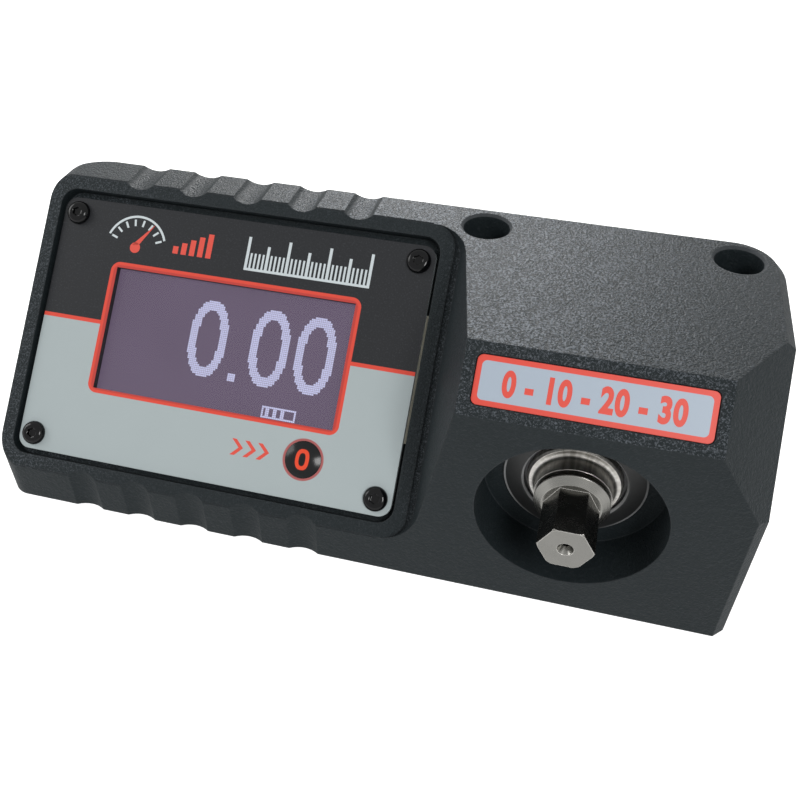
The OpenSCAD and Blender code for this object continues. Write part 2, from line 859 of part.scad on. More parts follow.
module drive_shaft() {
    color("#b7b5ae") at_origin() on_drive() difference() {
        union() {
            intersection() {
                translate([0, 0, -hex_out])
                    cylinder(h = hex_out + hex_root, r = hex_corner, $fn = 6);
                rotate_extrude() polygon([[0, -hex_out], [hex_corner - hex_chamfer, -hex_out],
                    [hex_corner + hair, -hex_out + hex_chamfer], [hex_corner + hair, hex_root],
                    [0, hex_root]]);
            }
            rotate_extrude() polygon(concat([[0, hex_root], [collar_face_dia / 2, hex_root],
                [collar_dia / 2, hex_root + collar_chamfer], [collar_dia / 2, hex_root + collar_len],
                [groove_dia / 2, hex_root + collar_len], [groove_dia / 2, nose_front],
                [nose_dia / 2, nose_front]], nose_root(),
                [[barrel_dia / 2 - barrel_chamfer, barrel_front],
                [barrel_dia / 2, barrel_front + barrel_chamfer], [barrel_dia / 2, barrel_back],
                [0, barrel_back]]));
        }
        translate([0, 0, -hex_out - hair])
            cylinder(h = centre_deep, d1 = centre_hole, d2 = pilot_hole);
        translate([0, 0, -hex_out]) cylinder(h = centre_deep + pilot_deep, d = pilot_hole);
    }
}

module support_bush() {
    color("#1b1b1d") at_origin() on_drive() difference() {
        translate([0, 0, recess_depth]) cylinder(h = bush_len, d = bore_dia);
        translate([0, 0, recess_depth - overrun])
            cylinder(h = bush_len + 2 * overrun, d = barrel_dia + 2 * hair);
    }
}

module guard_ring() {
    color("#141516") at_origin() on_drive() rotate_extrude()
        polygon([[guard_hole / 2, recess_depth], [guard_dia / 2, recess_depth],
            [guard_dia / 2, recess_depth - guard_chamfer], [guard_hole / 2 + guard_lip, guard_front],
            [guard_hole / 2 + guard_chamfer, guard_front], [guard_hole / 2, guard_front + guard_chamfer]]);
}

module torsion_tube() {
    color("#9d9c98") at_origin() on_drive() difference() {
        union() {
            translate([0, 0, barrel_back]) cylinder(h = flange_back - barrel_back, d = tube_dia);
            translate([0, 0, shoulder]) cylinder(h = flange_thick, d = flange_dia);
        }
        translate([0, 0, barrel_back + wall]) cylinder(h = body_depth, d = tube_hole);
        round_flange() translate([0, 0, shoulder - overrun])
            cylinder(h = flange_thick + 2 * overrun, d = flange_screw_dia + slack);
    }
}

module strain_gauges() {
    color("#c98a2e") at_origin() on_drive()
        for (i = [0 : gauge_count - 1]) rotate([0, 0, i * 360 / gauge_count])
            intersection() {
                difference() {
                    translate([0, 0, gauge_y]) cylinder(h = gauge_len, d = tube_dia + 2 * gauge_thick);
                    translate([0, 0, gauge_y - overrun])
                        cylinder(h = gauge_len + 2 * overrun, d = tube_dia + hair);
                }
                translate([0, -gauge_width / 2, gauge_y]) cube([tube_dia, gauge_width, gauge_len]);
            }
}

module terminal_ring() {
    color("#1d5a36") at_origin() on_drive() translate([0, 0, terminal_y]) difference() {
        cylinder(h = terminal_thick, d = bore_dia - 2 * terminal_clear);
        translate([0, 0, -overrun]) cylinder(h = terminal_thick + 2 * overrun, d = tube_dia + 2 * seat);
    }
}

module flange_screws() {
    color("#2a2b2d") at_origin() on_drive() round_flange() {
        translate([0, 0, flange_back]) difference() {
            cylinder(h = flange_screw_dia, d = flange_screw_dia * flange_head_share);
            translate([0, 0, flange_screw_dia / 2])
                cylinder(h = flange_screw_dia, r = flange_screw_dia * flange_socket_share, $fn = 6);
        }
        translate([0, 0, flange_back - flange_screw_len + slack])
            cylinder(h = flange_screw_len - slack, d = flange_screw_dia);
    }
}

module rear_cap() {
    color("#1c1d1f") at_origin() on_drive() {
        rotate_extrude() polygon([[0, body_depth - cap_thick], [cap_dia / 2, body_depth - cap_thick],
            [cap_dia / 2, body_depth - cap_chamfer], [cap_dia / 2 - cap_chamfer, body_depth],
            [0, body_depth]]);
        translate([0, 0, body_depth - cap_thick - wall]) difference() {
            cylinder(h = wall, d = pocket_dia - 2 * seat);
            translate([0, 0, -overrun]) cylinder(h = wall + overrun, d = pocket_dia - wall);
        }
    }
}

module gauge_lead() {
    color("#3b3d42") at_origin() translate([lead_start, lead_y, lead_high]) rotate([0, 90, 0])
        cylinder(h = lead_end - lead_start, d = lead_dia);
}

module lead_plug() {
    color("#e4e0d4") at_origin() on_head()
        head_block(plug_x + plug_len / 2, lead_up, plug_len, plug_width, lead_deep - plug_high / 2,
            lead_deep + plug_high / 2);
}

module lead_socket() {
    color("#d8d4c8") at_origin() on_head()
        head_block(socket_x + socket_size / 2, lead_up, socket_size, socket_width, main_board_front,
            main_board_front + socket_high);
}

module power_socket() {
    color("#17181a") at_origin() translate([power_x, power_thread_y, power_high]) rotate([90, 0, 0]) {
        difference() {
            union() {
                translate([0, 0, -power_flange_thick]) cylinder(h = power_flange_thick, d = power_flange_dia);
                cylinder(h = power_len, d = power_dia);
            }
            translate([0, 0, -power_flange_thick - overrun])
                cylinder(h = power_bore_deep + overrun, d = power_bore);
        }
        translate([0, 0, -power_flange_thick]) cylinder(h = power_bore_deep, d = power_pin);
    }
}

module power_nut() {
    color("#c7c9cc") at_origin() translate([power_x, body_depth - wall - seat, power_high]) rotate([90, 0, 0])
        difference() {
            cylinder(h = power_nut_thick, d = power_nut_flats / cos(30), $fn = 6);
            translate([0, 0, -overrun]) cylinder(h = power_nut_thick + 2 * overrun, d = power_dia + 2 * hair);
        }
}

module power_lead() {
    color("#a01f1c") at_origin() translate([power_x, power_back - hair, power_high]) rotate([90, 0, 0])
        cylinder(h = power_back - hair - power_lead_end, d = power_lead_dia);
}

module power_plug() {
    color("#e4e0d4") at_origin() on_head()
        head_block(power_x, power_up, power_plug_width, power_plug_len, power_plug_face,
            main_board_back - seat);
}

housing();
range_plate();
fascia();
fascia_gasket();
fascia_screws();
window();
lcd_glass();
lcd_backlight();
lcd_bezel();
display_board();
display_standoffs();
display_screws();
main_board();
board_standoffs();
board_screws();
board_connector();
processor();
converter();
button_cap();
key_switch();
switch_plunger();
drive_shaft();
support_bush();
guard_ring();
torsion_tube();
strain_gauges();
terminal_ring();
flange_screws();
rear_cap();
gauge_lead();
lead_plug();
lead_socket();
power_socket();
power_nut();
power_lead();
power_plug();
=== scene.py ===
"""Looks of the bench torque tester: its finishes, its printing and its small fittings.

The frame gives every solid in metres, with the origin at the centre of the base.  Sizes below
are in millimetres; the display face, the small sloping face and the drive each have their own
plane, in which their details are laid out.
"""

import logging
import math
from dataclasses import dataclass, field
from enum import Enum
from typing import Iterable, Protocol, Sequence, Union

import bmesh
import bpy
from mathutils import Matrix, Vector


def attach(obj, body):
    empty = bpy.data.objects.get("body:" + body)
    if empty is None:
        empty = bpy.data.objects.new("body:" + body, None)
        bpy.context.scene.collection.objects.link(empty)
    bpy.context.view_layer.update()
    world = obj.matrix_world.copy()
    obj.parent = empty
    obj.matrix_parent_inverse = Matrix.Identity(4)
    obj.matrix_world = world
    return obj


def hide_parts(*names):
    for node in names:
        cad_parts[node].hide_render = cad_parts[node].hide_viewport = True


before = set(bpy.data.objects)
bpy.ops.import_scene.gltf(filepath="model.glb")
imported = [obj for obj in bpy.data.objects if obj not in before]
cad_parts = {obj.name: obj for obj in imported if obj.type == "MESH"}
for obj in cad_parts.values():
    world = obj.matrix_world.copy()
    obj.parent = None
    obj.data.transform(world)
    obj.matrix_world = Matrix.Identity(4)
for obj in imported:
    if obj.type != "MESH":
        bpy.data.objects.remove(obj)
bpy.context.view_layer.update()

LOG = logging.getLogger("torque_tester")

# Sizes and colours that several pieces share
MM = 0.001
RIGHT_ANGLE = math.pi / 2
HALF_SIDE = math.pi / 6
LEFT_END = -86.0
FRONT = -26.15
BUTTON = (75.0, 13.8)
CELL = 0.47
SHARP = math.radians(32)
EDGE_SAMPLES = 6
EDGE_GAIN = 6.0
PRINT_RED = (0.72, 0.075, 0.048)
WHITE = (1.0, 1.0, 1.0)
SLANT = math.sqrt(0.5)
ACROSS = Vector((1, 0, 0))
SLOPE_UP = Vector((0, SLANT, SLANT))
SLOPE_OUT = Vector((0, -SLANT, SLANT))

Colour = tuple[float, float, float]
Material = bpy.types.Material
Socket = bpy.types.NodeSocket
Point = tuple[float, float]
Outline = list[Point]


# Planes

class Plane(Enum):
    """A plane that details are laid out on: its corner, and its axes across, up and out."""

    HEAD = (Vector((LEFT_END, FRONT, 10.3)), ACROSS, SLOPE_UP, SLOPE_OUT)
    NOSE = (Vector((LEFT_END, FRONT, 50.7)), ACROSS, SLOPE_UP, SLOPE_OUT)
    DRIVE = (Vector((49.5, FRONT, 27.5)), ACROSS, Vector((0, 0, 1)), Vector((0, -1, 0)))

    def place(self, across: float, up: float, out: float) -> Vector:
        """Gives the part's point, in metres, for a point of this plane in millimetres."""
        corner, x_axis, y_axis, z_axis = self.value
        return (corner + x_axis * across + y_axis * up + z_axis * out) * MM


# Shader graphs

class Num:
    """A number in a shader graph; an expression on it adds the Math nodes."""

    def __init__(self, graph: "Graph", socket: Socket) -> None:
        """Wraps one output socket of a graph."""
        self.graph = graph
        self.socket = socket

    def math(self, operation: str, *others: "Value", clamp: bool = False) -> "Num":
        """Adds one Math node.

        Args:
            operation: The Math node's operation.
            others: The second and third values, where the operation takes them.
            clamp: Whether the result is held between 0 and 1.

        Returns:
            The result.
        """
        values = dict(enumerate((self, *others)))
        made = self.graph.node("ShaderNodeMath", {"operation": operation, "use_clamp": clamp}, values)
        return Num(self.graph, made.outputs[0])

    def __add__(self, other: "Value") -> "Num":
        """Sum."""
        return self.math("ADD", other)

    __radd__ = __add__

    def __mul__(self, other: "Value") -> "Num":
        """Product."""
        return self.math("MULTIPLY", other)

    __rmul__ = __mul__

    def __sub__(self, other: "Value") -> "Num":
        """Difference."""
        return self.math("SUBTRACT", other)

    def __rsub__(self, other: "Value") -> "Num":
        """Difference, with the socket second."""
        return self.graph.num(other).math("SUBTRACT", self)

    def __truediv__(self, other: "Value") -> "Num":
        """Quotient."""
        return self.math("DIVIDE", other)

    def __rtruediv__(self, other: "Value") -> "Num":
        """Quotient, with the socket second."""
        return self.graph.num(other).math("DIVIDE", self)

    def __pow__(self, other: "Value") -> "Num":
        """Power."""
        return self.math("POWER", other)

    def __abs__(self) -> "Num":
        """Absolute value."""
        return self.math("ABSOLUTE")

    def least(self, other: "Value") -> "Num":
        """Smaller of the two."""
        return self.math("MINIMUM", other)

    def most(self, other: "Value") -> "Num":
        """Larger of the two."""
        return self.math("MAXIMUM", other)

    def held(self) -> "Num":
        """The value held between 0 and 1."""
        return self.math("ADD", 0.0, clamp=True)

    def root(self) -> "Num":
        """Square root."""
        return self.math("SQRT")


Value = Union[Num, float, int, tuple, Socket]
Values = dict[Union[int, str], Value]


class Graph:
    """The node graph of one material or world."""

    def __init__(self, name: str, world: bool = False) -> None:
        """Makes an empty material, or an empty world, of that name.

        Args:
            name: The name.
            world: True for a world.
        """
        self.owner = (bpy.data.worlds if world else bpy.data.materials).new(name)
        self.owner.use_nodes = True
        self.tree = self.owner.node_tree
        self.tree.nodes.clear()

    def node(self, kind: str, settings: dict[str, object] | None = None,
             values: Values | None = None) -> bpy.types.Node:
        """Adds one node.

        Args:
            kind: The node's type.
            settings: Its settings, which are set first.
            values: The values or links of its sockets, by name or number.

        Returns:
            The node.
        """
        made = self.tree.nodes.new(kind)
        for key, setting in (settings or {}).items():
            setattr(made, key, setting)
        for key, value in (values or {}).items():
            socket = made.inputs[key]
            if isinstance(value, Num):
                value = value.socket
            if isinstance(value, Socket):
                self.tree.links.new(value, socket)
            elif isinstance(value, tuple) and socket.type == "RGBA" and len(value) == 3:
                socket.default_value = (*value, 1.0)
            else:
                socket.default_value = value
        return made

    def num(self, value: Value) -> Num:
        """Gives a number as a Num."""
        if isinstance(value, Num):
            return value
        made = self.node("ShaderNodeValue")
        made.outputs[0].default_value = float(value)
        return Num(self, made.outputs[0])

    def place_mm(self) -> Socket:
        """Gives the surface point in the part's frame, in millimetres, as a vector."""
        coords = self.node("ShaderNodeTexCoord")
        scaled = self.node("ShaderNodeVectorMath", {"operation": "SCALE"},
                           {0: coords.outputs["Object"], "Scale": 1.0 / MM})
        return scaled.outputs[0]

    def split(self, vector: Socket) -> tuple[Num, Num, Num]:
        """Splits a vector into its three numbers."""
        made = self.node("ShaderNodeSeparateXYZ", {}, {0: vector})
        return tuple(Num(self, part) for part in made.outputs)

    def on_plane(self, plane: Plane, vector: Socket) -> tuple[Num, Num, Num]:
        """Gives the point's place across, up and out of a plane, in millimetres.

        Args:
            plane: The plane.
            vector: The surface point, in millimetres.

        Returns:
            The three distances.
        """
        corner, *axes = plane.value
        moved = self.node("ShaderNodeVectorMath", {"operation": "SUBTRACT"}, {0: vector, 1: tuple(corner)})
        parts = [self.node("ShaderNodeVectorMath", {"operation": "DOT_PRODUCT"},
                           {0: moved.outputs[0], 1: tuple(axis)}) for axis in axes]
        return tuple(Num(self, part.outputs["Value"]) for part in parts)

    def noise(self, vector: Socket, size: float, detail: float = 2.0,
              rough: float = 0.5, warp: float = 0.0) -> Num:
        """Gives soft noise from 0 to 1 whose blotches are about that many millimetres.

        Args:
            vector: The surface point, in millimetres.
            size: Size of a blotch.
            detail: Number of finer layers.
            rough: Share that each finer layer keeps.
            warp: How far the noise bends itself.

        Returns:
            The noise.
        """
        made = self.node("ShaderNodeTexNoise", {}, {"Vector": vector, "Scale": 1.0 / size,
                         "Detail": detail, "Roughness": rough, "Distortion": warp})
        return Num(self, made.outputs[0])

    def cells(self, vector: Socket, size: float) -> Num:
        """Gives the distance pattern of cells about that many millimetres apart."""
        made = self.node("ShaderNodeTexVoronoi", {}, {"Vector": vector, "Scale": 1.0 / size})
        return Num(self, made.outputs["Distance"])

    def step(self, value: Value, low: float, high: float) -> Num:
        """Goes smoothly from 0 to 1 between two values.

        Args:
            value: The number that is tested.
            low: Where the result is 0.
            high: Where the result is 1, which may lie below low.

        Returns:
            The share.
        """
        made = self.node("ShaderNodeMapRange", {"interpolation_type": "SMOOTHSTEP"},
                         {"Value": value, "From Min": low, "From Max": high})
        return Num(self, made.outputs[0])

    def mix(self, share: Value, first: Value, second: Value) -> Socket:
        """Mixes two colours, by the share of the second."""
        made = self.node("ShaderNodeMix", {"data_type": "RGBA"}, {0: share, 6: first, 7: second})
        return made.outputs[2]

    def tones(self, share: Value, colour: Colour, tone: float) -> Socket:
        """Mixes a colour with a lighter or darker tone of itself, by the share of the tone."""
        return self.mix(share, colour, toned(colour, tone))

    def bump(self, height: Value, depth: float, normal: Socket | None = None) -> Socket:
        """Gives a normal raised by a height pattern, its full depth in millimetres.

        Args:
            height: The pattern.
            depth: Height of the pattern at 1, in millimetres.
            normal: The normal that it is added to.

        Returns:
            The normal.
        """
        values: Values = {"Height": height, "Distance": depth * MM}
        if normal is not None:
            values["Normal"] = normal
        return self.node("ShaderNodeBump", {}, values).outputs[0]

    def soft_edges(self, radius: float) -> Socket:
        """Gives the normal of edges rounded by a radius in millimetres."""
        return self.node("ShaderNodeBevel", {"samples": EDGE_SAMPLES}, {"Radius": radius * MM}).outputs[0]

    def edge_share(self, rounded: Socket) -> Num:
        """Gives how far a rounded normal leans from the face's own, 0 on flats.

        Args:
            rounded: The rounded normal.

        Returns:
            The share, from 0 to 1.
        """
        own = self.node("ShaderNodeNewGeometry").outputs["Normal"]
        dot = self.node("ShaderNodeVectorMath", {"operation": "DOT_PRODUCT"}, {0: rounded, 1: own})
        return ((1.0 - Num(self, dot.outputs["Value"])) * EDGE_GAIN).held()

    def surface(self, colour: Value, rough: Value, normal: Socket | None = None,
                others: Values | None = None) -> Material:
        """Ends the graph in a Principled shader.

        Args:
            colour: Its base colour.
            rough: Its roughness.
            normal: Its normal, where it is not the face's own.
            others: The values or links of its other sockets, by name.

        Returns:
            The material.
        """
        values: Values = {"Base Color": colour, "Roughness": rough, **(others or {})}
        if normal is not None:
            values["Normal"] = normal
        return self.ends(self.node("ShaderNodeBsdfPrincipled", {}, values).outputs[0])

    def ends(self, shader: Socket) -> Material:
        """Ends the graph in a shader's output."""
        self.node("ShaderNodeOutputMaterial", {}, {"Surface": shader})
        return self.owner

    def seen(self) -> Num:
        """Gives 1 to the rays that show the surroundings: those of the camera, mirrors and glass."""
        paths = self.node("ShaderNodeLightPath")
        seen = Num(self, paths.outputs["Is Camera Ray"]).most(Num(self, paths.outputs["Is Glossy Ray"]))
        return seen.most(Num(self, paths.outputs["Is Transmission Ray"]))


def opened(name: str) -> tuple[Graph, Socket]:
    """Gives an empty material's graph and its surface point in millimetres."""
    graph = Graph(name)
    return graph, graph.place_mm()


def toned(colour: Colour, share: float, lift: float = 0.0) -> Colour:
    """Gives a tone of a colour: each part times a share, plus a lift, and at most 1."""
    return tuple(min(1.0, part * share + lift) for part in colour)


def reach(first: Num, second: Num) -> Num:
    """Gives the length of a vector from its two parts."""
    return (first * first + second * second).root()


def rounded_box(across: Num, up: Num, centre: Point, size: Point, radius: float) -> Num:
    """Gives the distance from a rectangle with rounded corners, negative inside it.

    Args:
        across: Place across the plane.
        up: Place up the plane.
        centre: The rectangle's centre.
        size: Its width and height.
        radius: Its corner radius.

    Returns:
        The distance in millimetres.
    """
    beyond_x = abs(across - centre[0]) - (size[0] / 2 - radius)
    beyond_y = abs(up - centre[1]) - (size[1] / 2 - radius)
    out_x, out_y = beyond_x.most(0.0), beyond_y.most(0.0)
    return reach(out_x, out_y) + beyond_x.most(beyond_y).least(0.0) - radius


def inked(distance: Num, soft: float = 0.06) -> Num:
    """Turns a distance outside an outline into ink: 1 inside it, 0 outside, with a soft edge."""
    return (0.5 - distance / soft).held()


# Finishes

class Finish(Protocol):
    """A finish: anything that builds a material."""

    def material(self) -> Material:
        """Builds the material."""


@dataclass(frozen=True)
class CastCoat:
    """Black textured coat on the casting: granular above, fine-grained in front, with a painted sheen of
    light specks across the middle of the top.
    """

    name: str = "cast_coat"
    colour: Colour = (0.0082, 0.0126, 0.0145)
    speck: Colour = (0.165, 0.184, 0.208)
    edge: Colour = (0.042, 0.047, 0.051)
    rounding: float = 0.45
    bolts: tuple[Point, ...] = ((21.0, 26.65), (76.0, 26.65))
    bolt_rim: Point = (6.6, 6.1)
    flat: Point = (0.9, 0.97)
    tilt: Point = (0.5, 0.62)
    forward: Point = (-0.55, -0.66)
    high_up: Point = (44.0, 46.0)
    # Middle and fade of the painted sheen along the top
    sheen_middle: float = 18.0
    sheen_band: Point = (66.0, 6.0)
    block_band: Point = (12.0, 18.0)
    head_band: Point = (-30.0, -84.0)
    grain_cut: Point = (0.47, 0.6)
    fleck_cut: Point = (0.5, 0.62)
    dust_cut: Point = (0.5, 0.8)
    grain_size: float = 0.4
    pit_size: float = 0.5
    leather_size: float = 0.8
    cloud_size: float = 14.0
    depth: float = 0.2
    specular: float = 0.21

    def material(self) -> Material:
        """Builds the material."""
        graph, place = opened(self.name)
        rounded = graph.soft_edges(self.rounding)
        own = graph.node("ShaderNodeTexCoord").outputs["Normal"]
        _, lean_y, lean_z = graph.split(own)
        across, _, high = graph.split(place)
        top = graph.step(lean_z, *self.flat) * graph.step(high, *self.high_up)
        tilted = graph.step(lean_z, *self.tilt) * (1.0 - top)
        slope = tilted * graph.step(lean_y, *self.forward)
        grains = graph.noise(place, self.grain_size, 2.0, 0.6)
        pits = graph.cells(place, self.pit_size)
        crackle = graph.noise(place, self.grain_size, 3.0, 0.7, 0.8)
        leather = graph.noise(place, self.leather_size, 2.0, 0.55, 0.9)
        flank = 1.0 - top - slope
        height = top * (grains + pits * 0.5) + slope * (crackle * 1.6 + pits * 0.4) + flank * leather * 1.2
        cloud = graph.noise(place, self.cloud_size, 2.0)
        # Painted sheen: a band round the middle of the top where the light specks grow thick, in place of a
        # lamp's reflection
        painted_highlight = graph.step(abs(across - self.sheen_middle), *self.sheen_band)
        # The top's light specks are partly the coat's grain and partly the painted sheen, in the speck colour
        grain_specks_and_sheen = graph.step(grains, *self.grain_cut) * top * (0.08 + cloud * 0.14 + painted_highlight * 0.72)
        on_head = graph.step(across, *self.head_band) * 0.7
        spread = graph.step(across, *self.block_band).most(on_head).most(0.16)
        flecks = graph.step(crackle, *self.fleck_cut) * slope * spread * 0.55
        dust = graph.step(leather, *self.dust_cut) * flank * 0.05
        colour = graph.mix(grain_specks_and_sheen + flecks + dust, self.colour, self.speck)
        wear_and_glint = graph.edge_share(rounded) * (0.35 + cloud * 0.4)
        colour = graph.mix(wear_and_glint.most(self.bolt_rims(graph, place) * tilted), colour, self.edge)
        rough = 0.5 + grains * 0.16 - top * 0.22 + cloud * 0.06
        return graph.surface(colour, rough, graph.bump(height, self.depth, rounded),
                             {"Specular IOR Level": self.specular})

    def bolt_rims(self, graph: Graph, place: Socket) -> Num:
        """Gives 1 on the rubbed rims of the bolt holes.

        Args:
            graph: The material's graph.
            place: The surface point, in millimetres.

        Returns:
            The share.
        """
        across, along, _ = graph.split(place)
        near = graph.num(100.0)
        for x, y in self.bolts:
            near = near.least(reach(across - x, along - y))
        return graph.step(near, *self.bolt_rim)


@dataclass(frozen=True)
class Moulding:
    """Moulded plastic or a smooth coat, with a fine grain, faint cloudiness and painted highlights on its
    edges.
    """

    name: str
    colour: Colour
    rough: float = 0.4
    grain: float = 0.5
    depth: float = 0.01
    rounding: float = 0.15
    specular: float = 0.5
    cloud_size: float = 6.0

    def material(self) -> Material:
        """Builds the material."""
        graph, place = opened(self.name)
        rounded = graph.soft_edges(self.rounding)
        grains = graph.noise(place, self.grain, 3.0)
        cloud = graph.noise(place, self.cloud_size, 2.0)
        # A lighter tone: the cloud mixes toward it at random, and the edges toward it as a painted highlight
        lit = toned(self.colour, 1.35, 0.004)
        colour = graph.mix(cloud * 0.5, self.colour, lit)
        colour = graph.mix(graph.edge_share(rounded) * 0.45, colour, lit)
        rough = self.rough + grains * 0.12 + cloud * 0.06 - 0.08
        return graph.surface(colour, rough, graph.bump(grains, self.depth, rounded),
                             {"Specular IOR Level": self.specular})


class Lay(Enum):
    """How a metal surface was worked."""

    TURNED = "turned"
    GROUND = "ground"
    PLATED = "plated"


@dataclass(frozen=True)
class Steel:
    """Worked or plated metal with tool marks, smudges and painted highlights on its edges."""

    name: str
    colour: Colour = (0.62, 0.6, 0.56)
    rough: float = 0.26
    lay: Lay = Lay.GROUND
    depth: float = 0.004
    rounding: float = 0.12
    smudge_size: float = 3.5
    rings_per_mm: float = 9.0
    ground_stretch: tuple[float, float, float] = (7.0, 0.5, 7.0)
    plated_size: float = 0.6

    def marks(self, graph: Graph, place: Socket) -> Num:
        """Gives the height pattern of the tool marks.

        Args:
            graph: The material's graph.
            place: The surface point, in millimetres.

        Returns:
            The height.
        """
        if self.lay is Lay.TURNED:
            across, up, out = graph.on_plane(Plane.DRIVE, place)
            around = reach(across, up) * self.rings_per_mm
            turned = graph.node("ShaderNodeCombineXYZ", {}, {0: around, 1: out * self.rings_per_mm, 2: 0.0})
            return graph.noise(turned.outputs[0], 1.0, 3.0, 0.6)
        if self.lay is Lay.GROUND:
            stretched = graph.node("ShaderNodeVectorMath", {"operation": "MULTIPLY"},
                                   {0: place, 1: self.ground_stretch})
            return graph.noise(stretched.outputs[0], 1.0, 3.0, 0.6)
        return graph.noise(place, self.plated_size, 2.0)

    def material(self) -> Material:
        """Builds the material."""
        graph, place = opened(self.name)
        rounded = graph.soft_edges(self.rounding)
        marks = self.marks(graph, place)
        smudge = graph.noise(place, self.smudge_size, 3.0)
        colour = graph.tones(smudge * 0.6, self.colour, 0.72)
        # Painted highlight: the edges are lightened
        colour = graph.mix(graph.edge_share(rounded) * 0.6, colour, toned(self.colour, 1.25))
        rough = self.rough + marks * 0.14 + smudge * 0.1 - 0.1
        return graph.surface(colour, rough, graph.bump(marks, self.depth, rounded), {"Metallic": 1.0})


@dataclass(frozen=True)
class LatheSteel:
    """Turned steel of the drive: fine rings, with a painted reflection on its nose, pale at the sides and
    dark on top with streaks, and painted highlights on its edges.
    """

    name: str = "lathe_steel"
    colour: Colour = (0.215, 0.212, 0.198)
    # Tones of the painted reflection and of the painted edge highlights
    bright: Colour = (0.78, 0.76, 0.72)
    dark: Colour = (0.16, 0.152, 0.136)
    nose_from: Point = (-6.1, -6.5)
    rings_per_mm: float = 8.0
    reflection_streaks_round: float = 9.0
    smudge_size: float = 3.0
    rounding: float = 0.18
    depth: float = 0.006

    def material(self) -> Material:
        """Builds the material."""
        graph, place = opened(self.name)
        across, up, out = graph.on_plane(Plane.DRIVE, place)
        around = reach(across, up)
        angle = up.math("ARCTAN2", across)
        nose = graph.step(out, *self.nose_from)
        # Painted reflection on the nose: pale at the left and right, dark at the top, with streaks round it
        # in place of the turned face's highlights
        side = graph.step(abs(across) / around, 0.3, 0.85)
        rays = graph.node("ShaderNodeCombineXYZ", {},
                          {0: angle * self.reflection_streaks_round, 1: around * 0.2, 2: out * 0.1})
        reflection_streaks = graph.step(graph.noise(rays.outputs[0], 1.0, 3.0, 0.65), 0.35, 0.65)
        rings = graph.node("ShaderNodeCombineXYZ", {},
                           {0: around * self.rings_per_mm, 1: out * self.rings_per_mm, 2: 0.0})
        turned = graph.noise(rings.outputs[0], 1.0, 3.0, 0.6)
        smudge = graph.noise(place, self.smudge_size, 3.0)
        rounded = graph.soft_edges(self.rounding)
        colour = graph.tones(smudge * 0.5, self.colour, 0.75)
        painted_reflection = graph.mix(reflection_streaks * 0.3 + side * 0.5 + smudge * 0.1, self.dark, self.bright)
        colour = graph.mix(nose * 0.85, colour, painted_reflection)
        # Painted highlight along the edges
        colour = graph.mix(graph.edge_share(rounded) * 0.8, colour, self.bright)
        rough = 0.16 + turned * 0.12 + smudge * 0.08 + nose * 0.12
        return graph.surface(colour, rough, graph.bump(turned, self.depth, rounded), {"Metallic": 1.0})


@dataclass(frozen=True)
class GuardCoat:
    """Black moulding of the guard ring, with painted highlights on its lip and on the left and right of its
    outer edge, mottled by scuffs.
    """

    name: str = "guard_moulding"
    colour: Colour = (0.011, 0.0118, 0.012)
    # Tone of the painted highlights on the lip and the outer edge
    painted_highlight: Colour = (0.36, 0.365, 0.37)
    lip: float = 10.95
    rim: float = 14.9
    line: float = 0.28
    scuff_size: float = 1.2
    grain_size: float = 0.4
    rounding: float = 0.3
    depth: float = 0.01

    def material(self) -> Material:
        """Builds the material."""
        graph, place = opened(self.name)
        across, up, _ = graph.on_plane(Plane.DRIVE, place)
        around = reach(across, up)
        scuffs = graph.noise(place, self.scuff_size, 3.0, 0.6)
        grain = graph.noise(place, self.grain_size, 3.0)
        # Painted highlights: a pale line round the hole's lip, and glints on the left and right of the outer
        # edge, mottled by scuffs
        lip = graph.step(abs(around - self.lip), self.line, self.line * 0.4)
        sides = graph.step(abs(across) / around, 0.3, 0.95) * graph.step(up / around, 0.45, 0.0)
        rim = graph.step(abs(around - self.rim), self.line * 1.2, self.line * 0.4) * sides
        wear_and_glint = (lip * 0.8 + rim) * (0.6 + scuffs * 0.5)
        colour = graph.mix(wear_and_glint.held(), self.colour, self.painted_highlight)
        rough = 0.34 + grain * 0.14 + scuffs * 0.08
        return graph.surface(colour, rough, graph.bump(grain, self.depth, graph.soft_edges(self.rounding)))


@dataclass(frozen=True)
class ClearPanel:
    """Clear window: see-through, with a faint gloss and dust."""

    name: str = "clear_panel"
    tint: Colour = (0.93, 0.92, 0.95)
    dust_size: float = 1.4
    index: float = 1.45
    gloss_share: float = 0.25

    def material(self) -> Material:
        """Builds the material."""
        graph, place = opened(self.name)
        dust = graph.noise(place, self.dust_size, 4.0, 0.7)
        clear = graph.node("ShaderNodeBsdfTransparent", {}, {0: self.tint})
        gloss = graph.node("ShaderNodeBsdfGlossy", {}, {"Color": WHITE, "Roughness": dust * 0.08 + 0.06})
        facing = graph.node("ShaderNodeFresnel", {}, {"IOR": self.index})
        share = Num(graph, facing.outputs[0]) * self.gloss_share
        mixed = graph.node("ShaderNodeMixShader", {}, {0: share, 1: clear.outputs[0], 2: gloss.outputs[0]})
        return graph.ends(mixed.outputs[0])


